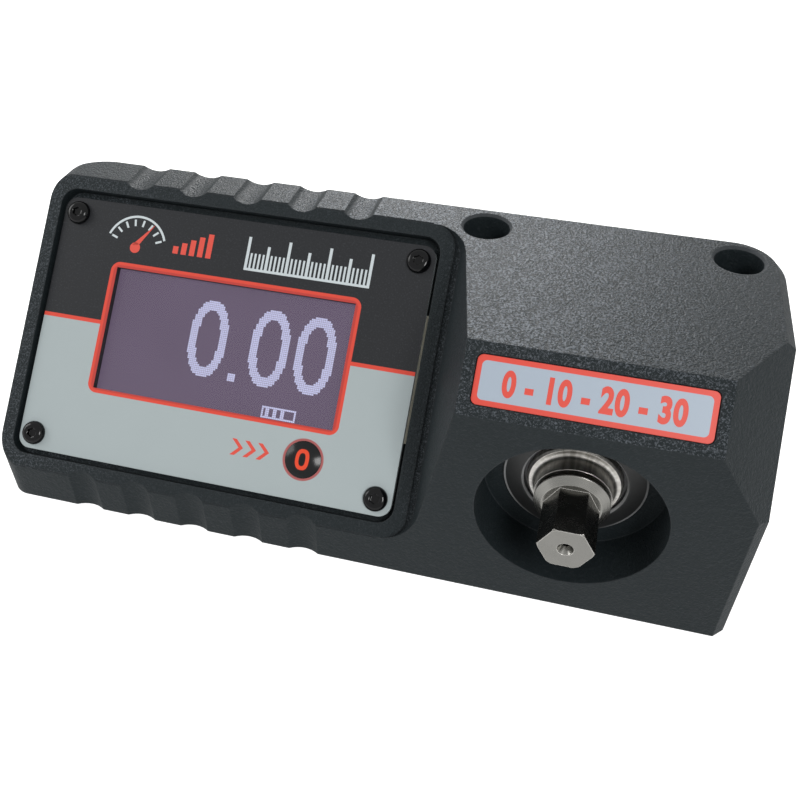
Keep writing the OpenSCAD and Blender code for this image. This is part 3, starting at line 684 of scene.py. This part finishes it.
@dataclass(frozen=True)
class LitGlass:
    """Lit display glass: an even mauve field with its fine grid of cells."""

    name: str = "display_glass"
    field_colour: Colour = (0.135, 0.104, 0.15)
    gap_colour: Colour = (0.05, 0.04, 0.06)
    unlit: Colour = (0.02, 0.017, 0.024)
    gap: float = 0.12
    cloud_size: float = 22.0

    def material(self) -> Material:
        """Builds the material."""
        graph, place = opened(self.name)
        across, up, _ = graph.on_plane(Plane.HEAD, place)
        lines = (across / CELL).math("FRACT").least((up / CELL).math("FRACT"))
        grid = 1.0 - graph.step(lines, 0.0, self.gap)
        cloud = graph.noise(place, self.cloud_size, 1.0)
        colour = graph.mix(cloud, toned(self.field_colour, 0.86), toned(self.field_colour, 1.1))
        colour = graph.mix(grid * 0.04, colour, self.gap_colour)
        return graph.surface(self.unlit, 0.35 + cloud * 0.1, None,
                             {"Emission Color": colour, "Emission Strength": 1.0, "Specular IOR Level": 0.05})


@dataclass(frozen=True)
class LitCells:
    """Lit cells of the display."""

    name: str = "lit_cells"
    colour: Colour = (0.61, 0.64, 0.86)
    unlit: Colour = (0.05, 0.045, 0.06)
    cloud_size: float = 9.0

    def material(self) -> Material:
        """Builds the material."""
        graph, place = opened(self.name)
        cloud = graph.noise(place, self.cloud_size, 1.0)
        light = graph.mix(cloud, toned(self.colour, 0.86), self.colour)
        return graph.surface(self.unlit, 0.3, None, {"Emission Color": light, "Emission Strength": 1.0})


@dataclass(frozen=True)
class Ink:
    """Screen-printed ink with slightly uneven cover."""

    name: str
    colour: Colour
    rough: float = 0.42
    mesh_size: float = 0.22
    cover_size: float = 5.0
    depth: float = 0.003

    def material(self) -> Material:
        """Builds the material."""
        graph, place = opened(self.name)
        mesh = graph.noise(place, self.mesh_size, 2.0)
        cover = graph.noise(place, self.cover_size, 2.0)
        colour = graph.tones(cover * 0.6 + mesh * 0.3, self.colour, 0.88)
        return graph.surface(colour, self.rough + mesh * 0.1, graph.bump(mesh, self.depth))


@dataclass(frozen=True)
class PanelPrint:
    """Printed face of the fascia: dark above, pale below, with its red lines, and painted shade on the red
    frame next to the window and on the window's cut walls.
    """

    name: str = "panel_print"
    dark: Colour = (0.0115, 0.0125, 0.0145)
    dark_grain: Colour = (0.04, 0.042, 0.048)
    pale: Colour = (0.4, 0.455, 0.462)
    red: Colour = PRINT_RED
    # Red of the painted shade next to the window
    shaded_red: Colour = (0.4, 0.045, 0.042)
    ring_red: Colour = (0.38, 0.05, 0.045)
    cut_pale: Colour = (0.33, 0.37, 0.375)
    # Painted shadow on the walls of the window's cut-out
    window_wall_shade: Colour = (0.012, 0.012, 0.014)
    divide_up: float = 37.3
    divide_wide: float = 0.95
    frame_centre: Point = (50.45, 36.4)
    frame_size: Point = (62.9, 32.1)
    frame_radius: float = 2.3
    # Band of the painted shade inside the red frame, next to the window
    frame_shade_band: Point = (-0.55, -0.95)
    opening_radius: float = 1.0
    ring_radius: float = 4.85
    face: Point = (-1.12, -1.04)
    grain_size: float = 0.35
    cloud_size: float = 11.0
    rounding: float = 0.2
    depth: float = 0.008
    specular: float = 0.25

    def material(self) -> Material:
        """Builds the material."""
        graph, place = opened(self.name)
        across, up, out = graph.on_plane(Plane.HEAD, place)
        grain = graph.noise(place, self.grain_size, 3.0, 0.6)
        cloud = graph.noise(place, self.cloud_size, 2.0)
        upper = inked(self.divide_up - up)
        dark = graph.mix(graph.step(grain, 0.5, 0.75) * 0.55, self.dark, self.dark_grain)
        pale = graph.tones(cloud * 0.5, self.pale, 0.94)
        colour = graph.mix(upper, pale, dark)
        line = inked(abs(up - self.divide_up) - self.divide_wide / 2)
        band = rounded_box(across, up, self.frame_centre, self.frame_size, self.frame_radius)
        red = graph.tones(cloud * 0.4, self.red, 0.9)
        # Painted shade: the red frame darkens along its inner part, next to the window
        red = graph.mix(graph.step(band, *self.frame_shade_band) * 0.7, red, self.shaded_red)
        colour = graph.mix(line.most(inked(band)), colour, red)
        from_button = reach(across - BUTTON[0], up - BUTTON[1])
        colour = graph.mix(inked(from_button - self.ring_radius, 0.12) * 0.85, colour, self.ring_red)
        opening = inked(rounded_box(across, up, self.frame_centre, self.frame_size, self.opening_radius))
        # Painted shadow: the walls of the window's cut-out are dark; the other cut edges are pale
        side = graph.mix(opening, self.cut_pale, self.window_wall_shade)
        colour = graph.mix(graph.step(out, *self.face), side, colour)
        normal = graph.bump(grain, self.depth, graph.soft_edges(self.rounding))
        return graph.surface(colour, 0.42 + grain * 0.1 + upper * 0.08, normal,
                             {"Specular IOR Level": self.specular})


@dataclass(frozen=True)
class PlatePrint:
    """Printed face of the range plate: a pale blue field in a red border."""

    name: str = "plate_print"
    field_colour: Colour = (0.375, 0.438, 0.514)
    red: Colour = (0.7, 0.062, 0.038)
    centre: Point = (135.5, 7.283)
    size: Point = (44.5, 9.7)
    border: float = 1.05
    corner: float = 1.0
    cloud_size: float = 7.0
    grain_size: float = 0.3
    rounding: float = 0.1
    depth: float = 0.005

    def material(self) -> Material:
        """Builds the material."""
        graph, place = opened(self.name)
        across, up, _ = graph.on_plane(Plane.NOSE, place)
        inner = (self.size[0] - 2 * self.border, self.size[1] - 2 * self.border)
        inside = inked(rounded_box(across, up, self.centre, inner, self.corner))
        cloud = graph.noise(place, self.cloud_size, 2.0)
        grain = graph.noise(place, self.grain_size, 2.0)
        pale = graph.tones(cloud * 0.5, self.field_colour, 0.93)
        red = graph.tones(cloud * 0.5, self.red, 0.9)
        normal = graph.bump(grain, self.depth, graph.soft_edges(self.rounding))
        return graph.surface(graph.mix(inside, red, pale), 0.4 + grain * 0.1, normal)


@dataclass(frozen=True)
class ButtonPrint:
    """Glossy button cap with its red ring-shaped nought."""

    name: str = "button_print"
    black: Colour = (0.006, 0.0065, 0.007)
    red: Colour = (0.8, 0.075, 0.03)
    outer: Point = (1.62, 2.4)
    inner: Point = (0.78, 1.5)
    power: float = 2.5
    top: Point = (-0.98, -0.9)
    smear_size: float = 1.8
    depth: float = 0.004
    specular: float = 0.22

    def oval(self, across: Num, up: Num, half: Point) -> Num:
        """Gives the ink inside a full oval of those half sizes, round the place 0, 0."""
        shape = abs(across / half[0]) ** self.power + abs(up / half[1]) ** self.power
        return inked((shape - 1.0) * min(half) * 0.4, 0.08)

    def material(self) -> Material:
        """Builds the material."""
        graph, place = opened(self.name)
        across, up, out = graph.on_plane(Plane.HEAD, place)
        across, up = across - BUTTON[0], up - BUTTON[1]
        nought = self.oval(across, up, self.outer) * (1.0 - self.oval(across, up, self.inner))
        smear = graph.noise(place, self.smear_size, 3.0)
        colour = graph.mix(nought * graph.step(out, *self.top), self.black, self.red)
        return graph.surface(colour, 0.13 + smear * 0.1, graph.bump(smear, self.depth),
                             {"Specular IOR Level": self.specular})


@dataclass(frozen=True)
class Foam:
    """Cream foam strip with open pores."""

    name: str = "foam"
    colour: Colour = (0.9, 0.86, 0.7)
    pore_size: float = 0.25
    cloud_size: float = 3.0
    depth: float = 0.05

    def material(self) -> Material:
        """Builds the material."""
        graph, place = opened(self.name)
        pores = graph.cells(place, self.pore_size)
        cloud = graph.noise(place, self.cloud_size, 2.0)
        colour = graph.tones((1.0 - pores).held() * 0.4 + cloud * 0.3, self.colour, 0.6)
        return graph.surface(colour, 0.85 + cloud * 0.1, graph.bump(pores, self.depth))


@dataclass(frozen=True)
class Board:
    """Circuit board: green mask over faint copper tracks."""

    name: str = "circuit_board"
    mask: Colour = (0.012, 0.1, 0.04)
    track: Colour = (0.03, 0.2, 0.08)
    bend_size: float = 9.0
    depth: float = 0.03

    def material(self) -> Material:
        """Builds the material."""
        graph, place = opened(self.name)
        across, up, _ = graph.on_plane(Plane.HEAD, place)
        bent = graph.noise(place, self.bend_size, 0.0)
        lines = abs((across * 0.9 + bent * 9.0).math("FRACT") - 0.5)
        rows = abs((up * 0.7 + bent * 7.0).math("FRACT") - 0.5)
        tracks = graph.step(lines.least(rows), 0.12, 0.08)
        return graph.surface(graph.mix(tracks, self.mask, self.track), 0.3 + tracks * 0.1,
                             graph.bump(tracks, self.depth))


# Meshes

def linked(name: str, data: bpy.types.ID) -> bpy.types.Object:
    """Makes an object of those data and links it to the scene."""
    made = bpy.data.objects.new(name, data)
    bpy.context.scene.collection.objects.link(made)
    return made


def mesh_piece(name: str, points: Sequence[Vector], faces: Iterable[Sequence[int]],
               material: Material, smooth: bool = False) -> bpy.types.Object:
    """Makes a mesh object in the part's frame.

    Args:
        name: The piece's name.
        points: Its corners in metres.
        faces: Its faces by corner number.
        material: Its finish.
        smooth: Whether it is shaded smooth, with sharp edges kept.

    Returns:
        The object.
    """
    mesh = bpy.data.meshes.new(name)
    mesh.from_pydata([tuple(point) for point in points], [], [tuple(face) for face in faces])
    work = bmesh.new()
    work.from_mesh(mesh)
    bmesh.ops.recalc_face_normals(work, faces=work.faces)
    for edge in work.edges:
        if len(edge.link_faces) == 2 and edge.calc_face_angle(0.0) > SHARP:
            edge.smooth = False
    for face in work.faces:
        face.smooth = smooth
    work.to_mesh(mesh)
    work.free()
    mesh.materials.append(material)
    return linked(name, mesh)


def slabs(plane: Plane, outlines: Sequence[Outline], low: float,
          high: float) -> tuple[list[Vector], list[list[int]]]:
    """Raises flat outlines off a plane.

    Args:
        plane: The plane they lie on.
        outlines: Closed outlines in millimetres.
        low: Height of their undersides over the plane.
        high: Height of their tops.

    Returns:
        The corners and the faces.
    """
    points: list[Vector] = []
    faces: list[list[int]] = []
    for outline in outlines:
        start, count = len(points), len(outline)
        for height in (low, high):
            points += [plane.place(x, y, height) for x, y in outline]
        faces.append([start + i for i in range(count)][::-1])
        faces.append([start + count + i for i in range(count)])
        for i in range(count):
            after = (i + 1) % count
            faces.append([start + i, start + after, start + count + after, start + count + i])
    return points, faces


def bar(start: Point, end: Point, width: float) -> Outline:
    """Gives the outline of a straight bar between two points.

    Args:
        start: Middle of one end.
        end: Middle of the other.
        width: Width of the bar.

    Returns:
        The outline.
    """
    along = Vector((end[0] - start[0], end[1] - start[1])).normalized() * (width / 2)
    side = (-along.y, along.x)
    return [(start[0] + side[0], start[1] + side[1]), (start[0] - side[0], start[1] - side[1]),
            (end[0] - side[0], end[1] - side[1]), (end[0] + side[0], end[1] + side[1])]


def ring_parts(centre: Point, radius: float, width: float, start: float, end: float,
               count: int) -> list[Outline]:
    """Gives an arc as short bent bars, its angles in degrees.

    Args:
        centre: Centre of the arc.
        radius: Radius of its middle line.
        width: Width of the bars.
        start: Angle of one end.
        end: Angle of the other.
        count: Number of bars.

    Returns:
        The outlines of the bars.
    """
    parts: list[Outline] = []
    for i in range(count):
        first = math.radians(start + (end - start) * i / count)
        last = math.radians(start + (end - start) * (i + 1) / count)
        inside, outside = radius - width / 2, radius + width / 2
        parts.append([(centre[0] + r * math.cos(a), centre[1] + r * math.sin(a))
                      for r, a in ((inside, first), (outside, first), (outside, last), (inside, last))])
    return parts


def dress(finish: Finish, *nodes: str) -> None:
    """Gives carried-over solids a finish.

    Args:
        finish: The finish.
        nodes: Names of the solids.
    """
    material = finish.material()
    for name in nodes:
        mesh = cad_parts[name].data
        mesh.materials.clear()
        mesh.materials.append(material)
        LOG.info("dressed %s in %s", name, material.name)


def fitted(piece: bpy.types.Object, body: str) -> bpy.types.Object:
    """Lets a new piece ride on a body.

    Args:
        piece: The new piece.
        body: The body that it moves with.

    Returns:
        The same piece.
    """
    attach(piece, body)
    LOG.info("built %s on %s", piece.name, body)
    return piece


# Sub-assemblies

Finishes = tuple[tuple[Finish, tuple[str, ...]], ...]


@dataclass
class Carried:
    """A sub-assembly with solids of the frame: each of its finishes with the names of its solids."""

    finishes: Finishes = ()

    def build(self) -> None:
        """Dresses the solids."""
        for finish, nodes in self.finishes:
            dress(finish, *nodes)


@dataclass
class Casting(Carried):
    """The cast housing with its rim, scallops and recess."""

    finishes: Finishes = ((CastCoat(), ("housing",)),)


@dataclass
class FasciaScrews:
    """Four button-head screws with hexagon sockets."""

    across: Point = (7.8, 93.2)
    up: Point = (8.2, 62.9)
    face: float = -1.0
    head_radius: float = 2.85
    head_high: float = 1.5
    crown_radius: float = 1.55
    brim: float = 0.2
    brim_edge: float = 0.08
    dome_rings: int = 9
    thread_radius: float = 1.5
    thread_chamfer: float = 0.3
    length: float = 9.0
    socket: float = 1.0
    socket_mouth: float = 0.16
    socket_deep: float = 1.05
    around: int = 48

    def ring(self, radius: float, hexagon: bool) -> list[Point]:
        """Gives one ring of the screw's surface, round or hexagonal.

        Args:
            radius: Radius of the ring, to the corners of a hexagon.
            hexagon: True for a hexagon.

        Returns:
            The points of the ring.
        """
        points: list[Point] = []
        for i in range(self.around):
            angle = 2 * math.pi * i / self.around
            far = radius
            if hexagon:
                far = radius / math.cos((angle + HALF_SIDE) % (2 * HALF_SIDE) - HALF_SIDE)
            points.append((far * math.cos(angle), far * math.sin(angle)))
        return points

    def profile(self) -> list[tuple[float, float, bool]]:
        """Gives the screw's rings from its tip to the socket's floor: radius, height, hexagonal or not."""
        low, top = self.face - self.length, self.face + self.head_high
        rings = [(self.thread_radius - self.thread_chamfer, low, False),
                 (self.thread_radius, low + self.thread_chamfer, False),
                 (self.thread_radius, self.face, False),
                 (self.head_radius - self.brim_edge, self.face, False),
                 (self.head_radius, self.face + self.brim_edge, False),
                 (self.head_radius, self.face + self.brim, False)]
        for i in range(1, self.dome_rings):
            turn = RIGHT_ANGLE * i / self.dome_rings
            rings.append((self.crown_radius + (self.head_radius - self.crown_radius) * math.cos(turn),
                          self.face + self.brim + (self.head_high - self.brim) * math.sin(turn), False))
        floor = top - self.socket_deep
        rings += [(self.crown_radius - 0.05, top, False), (self.socket * 1.2, top - 0.03, False),
                  (self.socket, top - self.socket_mouth, True), (self.socket, floor, True),
                  (self.socket * 0.9, floor - 0.05, True)]
        return rings

    def build(self) -> None:
        """Builds the screws as one piece."""
        points: list[Vector] = []
        faces: list[list[int]] = []
        for x in self.across:
            for y in self.up:
                start = len(points)
                rings = self.profile()
                for radius, height, hexagon in rings:
                    ring = self.ring(radius, hexagon)
                    points += [Plane.HEAD.place(x + dx, y + dy, height) for dx, dy in ring]
                for k in range(len(rings) - 1):
                    for i in range(self.around):
                        after = (i + 1) % self.around
                        a, b = start + k * self.around, start + (k + 1) * self.around
                        faces.append([a + i, a + after, b + after, b + i])
                faces.append([start + i for i in range(self.around)][::-1])
                last = start + (len(rings) - 1) * self.around
                faces.append([last + i for i in range(self.around)])
        finish = Moulding("black_steel", (0.0012, 0.0014, 0.0018), rough=0.08, grain=0.8, depth=0.002,
                          rounding=0.08, specular=0.2)
        piece = mesh_piece("fascia_screw_set", points, faces, finish.material(), smooth=True)
        fitted(piece, "tester")
        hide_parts("fascia_screws")


@dataclass
class DisplayCells:
    """Lit cells of the display: three noughts with their point, and a small bar mark."""

    gap: float = 0.06
    low: float = -3.88
    high: float = -3.84
    columns: tuple[int, int] = (43, 172)
    rows: tuple[int, int] = (44, 110)
    nought_outer: tuple[float, float, float] = (10.1, 19.4, 2.3)
    nought_inner: tuple[float, float, float] = (5.8, 14.9, 2.2)
    nought_centres: tuple[Point, ...] = ((97.0, 80.5), (130.0, 80.5), (154.0, 80.5))
    stop_box: tuple[int, int, int, int] = (111, 115, 61, 65)
    mark_box: tuple[int, int, int, int] = (132, 150, 46, 52)

    def lit(self, i: int, j: int) -> bool:
        """Tells whether a cell is lit, by its column and row.

        Args:
            i: Column of the cell.
            j: Row of the cell.

        Returns:
            True if it is lit.
        """
        for column, row in self.nought_centres:
            x, y = abs(i + 0.5 - column), abs(j + 0.5 - row)
            outer, inner = ((x / wide) ** power + (y / tall) ** power
                            for wide, tall, power in (self.nought_outer, self.nought_inner))
            if outer <= 1.0 < inner:
                return True
        left, right, low, high = self.stop_box
        if left <= i < right and low <= j < high:
            return True
        left, right, low, high = self.mark_box
        if left <= i < right and low <= j < high:
            edge = i in (left, right - 1) or j in (low, high - 1)
            return edge or ((i - left) % 4 in (2, 3) and i < right - 6)
        return False

    def build(self) -> None:
        """Builds the lit cells as one piece."""
        outlines: list[Outline] = []
        half = (CELL - self.gap) / 2
        for i in range(*self.columns):
            for j in range(*self.rows):
                if self.lit(i, j):
                    x, y = (i + 0.5) * CELL, (j + 0.5) * CELL
                    outlines.append([(x - half, y - half), (x + half, y - half), (x + half, y + half),
                                     (x - half, y + half)])
        points, faces = slabs(Plane.HEAD, outlines, self.low, self.high)
        fitted(mesh_piece("display_cells", points, faces, LitCells().material()), "tester")


@dataclass
class PanelMarks:
    """Plain printed marks on the fascia: a small dial sign, a row of scale strokes and three arrowheads."""

    low: float = -1.0
    high: float = -0.975
    dial_centre: Point = (24.0, 56.4)
    dial_radius: float = 7.6
    dial_line: float = 0.55
    dial_ends: tuple[int, int] = (20, 160)
    tick: Point = (5.3, 6.9)
    tick_wide: float = 0.5
    hub_radius: float = 1.3
    needle_outline: tuple[Point, ...] = ((24.9, 57.3), (23.1, 57.0), (28.2, 62.6))
    level_left: float = 34.4
    level_step: float = 2.1
    level_wide: float = 1.35
    scale_left: float = 52.5
    scale_foot: float = 55.6
    scale_tall: tuple[float, float, float] = (7.4, 5.6, 3.6)
    scale_wide: Point = (0.7, 0.48)
    arrow_left: tuple[float, ...] = (57.4, 60.6, 63.8)
    arrow_outline: tuple[Point, ...] = ((0, -1.9), (1.1, -1.9), (3.0, 0), (1.1, 1.9), (0, 1.9), (1.9, 0))

    def around_dial(self, radius: float, angle: float) -> Point:
        """Gives the point at that distance and angle from the dial's centre."""
        x, y = self.dial_centre
        return x + radius * math.cos(angle), y + radius * math.sin(angle)

    def dial(self) -> list[Outline]:
        """Gives the pale arc and ticks of the dial sign."""
        parts = ring_parts(self.dial_centre, self.dial_radius, self.dial_line, *self.dial_ends, 40)
        for degrees in range(self.dial_ends[0], self.dial_ends[1] + 1, 20):
            inner, outer = (self.around_dial(radius, math.radians(degrees)) for radius in self.tick)
            parts.append(bar(inner, outer, self.tick_wide))
        return parts

    def needle(self) -> list[Outline]:
        """Gives the red needle, its hub, and the level bars beside the dial sign."""
        hub = [self.around_dial(self.hub_radius, 2 * math.pi * i / 28) for i in range(28)]
        foot = self.dial_centre[1]
        lefts = [self.level_left + self.level_step * i for i in range(5)]
        level = [bar((x, foot), (x, foot + 1.8 + i), self.level_wide) for i, x in enumerate(lefts)]
        return [hub, list(self.needle_outline), *level]

    def scale(self) -> list[Outline]:
        """Gives the pale strokes of the scale and the line under them."""
        parts: list[Outline] = []
        full, half, short = self.scale_tall
        thick, thin = self.scale_wide
        for i in range(31):
            tall = full if i % 10 == 0 else half if i % 5 == 0 else short
            x = self.scale_left + i
            parts.append(bar((x, self.scale_foot), (x, self.scale_foot + tall), thin if i % 5 else thick))
        line = self.scale_foot - 0.3
        parts.append(bar((self.scale_left - 0.35, line), (self.scale_left + 30.35, line), 0.6))
        return parts

    def arrows(self) -> list[Outline]:
        """Gives the red arrowheads that point to the button."""
        return [[(left + x, BUTTON[1] + y) for x, y in self.arrow_outline] for left in self.arrow_left]

    def build(self) -> None:
        """Builds the marks as two pieces, pale and red."""
        pale = Ink("pale_ink", (0.6, 0.66, 0.68)).material()
        red = Ink("red_ink", PRINT_RED).material()
        for name, outlines, ink in (("pale_panel_marks", self.dial() + self.scale(), pale),
                                    ("red_panel_marks", self.needle() + self.arrows(), red)):
            points, faces = slabs(Plane.HEAD, outlines, self.low, self.high)
            fitted(mesh_piece(name, points, faces, ink), "tester")


@dataclass
class DisplayHead(Carried):
    """The fascia, what is printed on it, and the display behind its window."""

    finishes: Finishes = (
        (PanelPrint(), ("fascia",)),
        (Foam(), ("fascia_gasket",)),
        (ClearPanel(), ("window",)),
        (LitGlass(), ("lcd_glass",)),
        (Moulding("light_guide", (0.7, 0.68, 0.78), rough=0.3), ("lcd_backlight",)),
        (Steel("black_sheet", (0.05, 0.05, 0.055), rough=0.4, lay=Lay.PLATED), ("lcd_bezel",)),
    )
    screws: FasciaScrews = field(default_factory=FasciaScrews)
    cells: DisplayCells = field(default_factory=DisplayCells)
    marks: PanelMarks = field(default_factory=PanelMarks)

    def build(self) -> None:
        """Dresses the panel and its display, and builds the small pieces."""
        super().build()
        self.screws.build()
        self.cells.build()
        self.marks.build()


@dataclass
class ZeroButton(Carried):
    """The button, its switch and the plunger between them."""

    finishes: Finishes = (
        (ButtonPrint(), ("button_cap",)),
        (Moulding("switch_body", (0.02, 0.02, 0.022)), ("key_switch",)),
        (Moulding("switch_plunger_nylon", (0.6, 0.55, 0.42)), ("switch_plunger",)),
    )


@dataclass
class RangePlate(Carried):
    """The plate over the drive, with its plain figures."""

    finishes: Finishes = ((PlatePrint(), ("range_plate",)),)
    words: str = "0 - 10 - 20 - 30"
    centre: Point = (135.6, 7.2)
    height: float = 5.3
    width: float = 34.0
    low: float = -0.25
    high: float = -0.225
    weight: float = 0.045
    spacing: float = 1.1

    def figures(self, material: Material) -> bpy.types.Object:
        """Builds the figures as raised ink.

        Args:
            material: The ink.

        Returns:
            The figures as one piece.
        """
        curve = bpy.data.curves.new("range_figures_curve", "FONT")
        curve.body = self.words
        curve.size = 1.0
        curve.offset = self.weight
        curve.space_character = self.spacing
        curve.resolution_u = 6
        curve.align_x = "CENTER"
        curve.align_y = "CENTER"
        curve.extrude = 0.5
        made = linked("range_figures_text", curve)
        shown = made.evaluated_get(bpy.context.evaluated_depsgraph_get())
        mesh = bpy.data.meshes.new_from_object(shown)
        bpy.data.objects.remove(made)
        xs = [v.co.x for v in mesh.vertices]
        ys = [v.co.y for v in mesh.vertices]
        scale = self.height / (max(ys) - min(ys))
        wide = self.width / (max(xs) - min(xs))
        middle = ((max(xs) + min(xs)) / 2, (max(ys) + min(ys)) / 2)
        for vertex in mesh.vertices:
            x, y, z = vertex.co
            vertex.co = Plane.NOSE.place(self.centre[0] + (x - middle[0]) * wide,
                                         self.centre[1] + (y - middle[1]) * scale,
                                         self.high if z > 0 else self.low)
        mesh.materials.clear()
        mesh.materials.append(material)
        return linked("range_figures", mesh)

    def build(self) -> None:
        """Dresses the plate and builds its figures."""
        super().build()
        ink = Ink("plate_ink", (0.71, 0.066, 0.041)).material()
        fitted(self.figures(ink), "tester")


@dataclass
class Drive(Carried):
    """The hexagon drive, its guard and the gauged tube behind it."""

    finishes: Finishes = (
        (LatheSteel(), ("drive_shaft",)),
        (Steel("machined_steel", (0.5, 0.5, 0.5), rough=0.3, lay=Lay.TURNED), ("torsion_tube",)),
        (Moulding("bush_polymer", (0.012, 0.012, 0.013), rough=0.35), ("support_bush",)),
        (GuardCoat(), ("guard_ring",)),
        (Moulding("gauge_foil", (0.5, 0.24, 0.05), rough=0.25), ("strain_gauges",)),
        (Board("terminal_board"), ("terminal_ring",)),
        (Steel("oxide_steel", (0.05, 0.05, 0.053), rough=0.35, lay=Lay.PLATED), ("flange_screws",)),
    )


@dataclass
class RearFittings(Carried):
    """The cap and the power socket in the rear wall."""

    finishes: Finishes = (
        (Moulding("cap_moulding", (0.014, 0.0145, 0.016), rough=0.45), ("rear_cap",)),
        (Moulding("socket_moulding", (0.01, 0.01, 0.011), rough=0.3), ("power_socket",)),
        (Steel("nickel", (0.66, 0.64, 0.6), lay=Lay.PLATED), ("power_nut",)),
    )


@dataclass
class Electronics(Carried):
    """Boards, leads and fasteners inside the head."""

    finishes: Finishes = (
        (Board(), ("display_board", "main_board")),
        (Steel("zinc_plate", (0.6, 0.62, 0.64), lay=Lay.PLATED),
         ("display_standoffs", "display_screws", "board_standoffs", "board_screws")),
        (Moulding("chip_moulding", (0.018, 0.018, 0.02)), ("processor", "converter", "board_connector")),
        (Moulding("nylon", (0.66, 0.62, 0.52)), ("lead_plug", "lead_socket", "power_plug")),
        (Moulding("grey_sheath", (0.045, 0.047, 0.053), rough=0.5), ("gauge_lead",)),
        (Moulding("red_sheath", (0.36, 0.02, 0.015), rough=0.45), ("power_lead",)),
    )


# Studio

@dataclass
class Lamp:
    """One soft box: its place, its aim, its size and its strength."""

    name: str
    place: tuple[float, float, float]
    aim: tuple[float, float, float]
    size: Point
    watts: float

    def build(self) -> None:
        """Hangs the lamp."""
        light = bpy.data.lights.new(self.name, "AREA")
        light.shape = "RECTANGLE"
        light.size, light.size_y = self.size
        light.energy = self.watts
        made = linked(self.name, light)
        made.location = self.place
        made.rotation_euler = (Vector(self.aim) - Vector(self.place)).to_track_quat("-Z", "Y").to_euler()


@dataclass
class Studio:
    """The camera, the pale floor, the soft lamps and the white surroundings."""

    eye: tuple[float, float, float] = (0.04393, -0.14847, 0.16124)
    right: tuple[float, float, float] = (0.96961, 0.24447, 0.00948)
    upward: tuple[float, float, float] = (-0.16736, 0.63450, 0.75459)
    back: tuple[float, float, float] = (0.17846, -0.73325, 0.65613)
    lens: float = 39.486
    sensor: float = 36.0
    nearest: float = 0.005
    sky_level: float = 0.34
    floor_glow: float = 0.66
    floor_reach: float = 3.0
    floor_drop: float = 0.0002
    floor_tones: tuple[Colour, Colour] = ((0.8, 0.8, 0.8), (0.82, 0.82, 0.82))
    floor_cloud: float = 40.0
    lamps: tuple[Lamp, ...] = (
        Lamp("back_box", (-0.1, 0.46, 0.34), (0.0, 0.0, 0.05), (0.22, 0.16), 1.9),
        Lamp("left_box", (-0.95, -0.15, 0.6), (0.0, 0.0, 0.03), (0.5, 0.5), 4.0),
        Lamp("right_box", (0.5, -0.7, 0.75), (0.0, 0.0, 0.03), (0.35, 0.35), 6.6),
    )

    def camera(self) -> None:
        """Sets the camera where the photograph was taken from."""
        data = bpy.data.cameras.new("camera")
        data.lens = self.lens
        data.sensor_width = self.sensor
        data.clip_start = self.nearest
        made = linked("camera", data)
        turn = Matrix((self.right, self.upward, self.back)).transposed().to_4x4()
        made.matrix_world = Matrix.Translation(self.eye) @ turn
        bpy.context.scene.camera = made

    def floor(self) -> None:
        """Lays the pale floor, which keeps the part's shadow."""
        count = 12
        pitch = self.floor_reach / count
        points = [Vector((x * pitch, y * pitch, -self.floor_drop))
                  for y in range(-count, count + 1) for x in range(-count, count + 1)]
        wide = 2 * count + 1
        faces = [[j * wide + i, j * wide + i + 1, (j + 1) * wide + i + 1, (j + 1) * wide + i]
                 for j in range(wide - 1) for i in range(wide - 1)]
        graph, place = opened("pale_floor")
        tone = graph.mix(graph.noise(place, self.floor_cloud, 2.0), *self.floor_tones)
        flat = graph.node("ShaderNodeBsdfDiffuse", {}, {"Color": tone}).outputs[0]
        glow = graph.node("ShaderNodeEmission", {}, {"Color": WHITE, "Strength": self.floor_glow}).outputs[0]
        both = graph.node("ShaderNodeAddShader", {}, {0: flat, 1: glow}).outputs[0]
        mixed = graph.node("ShaderNodeMixShader", {}, {0: graph.seen(), 1: flat, 2: both})
        mesh_piece("floor", points, faces, graph.ends(mixed.outputs[0]))

    def world(self) -> None:
        """Makes the surroundings white to the eye and level for the lighting."""
        graph = Graph("surroundings", world=True)
        strength = graph.seen() * (1.0 - self.sky_level) + self.sky_level
        sky = graph.node("ShaderNodeBackground", {}, {"Color": WHITE, "Strength": strength})
        graph.node("ShaderNodeOutputWorld", {}, {0: sky.outputs[0]})
        bpy.context.scene.world = graph.owner

    def build(self) -> None:
        """Sets up the whole studio."""
        self.camera()
        self.floor()
        self.world()
        for lamp in self.lamps:
            lamp.build()
        bpy.context.scene.view_settings.view_transform = "Standard"
        LOG.info("studio ready")


def main() -> None:
    """Builds the sub-assemblies in order."""
    logging.basicConfig(level=logging.INFO, format="%(message)s")
    for assembly in (Studio(), Casting(), DisplayHead(), ZeroButton(), RangePlate(), Drive(),
                     RearFittings(), Electronics()):
        LOG.info("building %s", type(assembly).__name__)
        assembly.build()


if __name__ == "__main__":
    main()
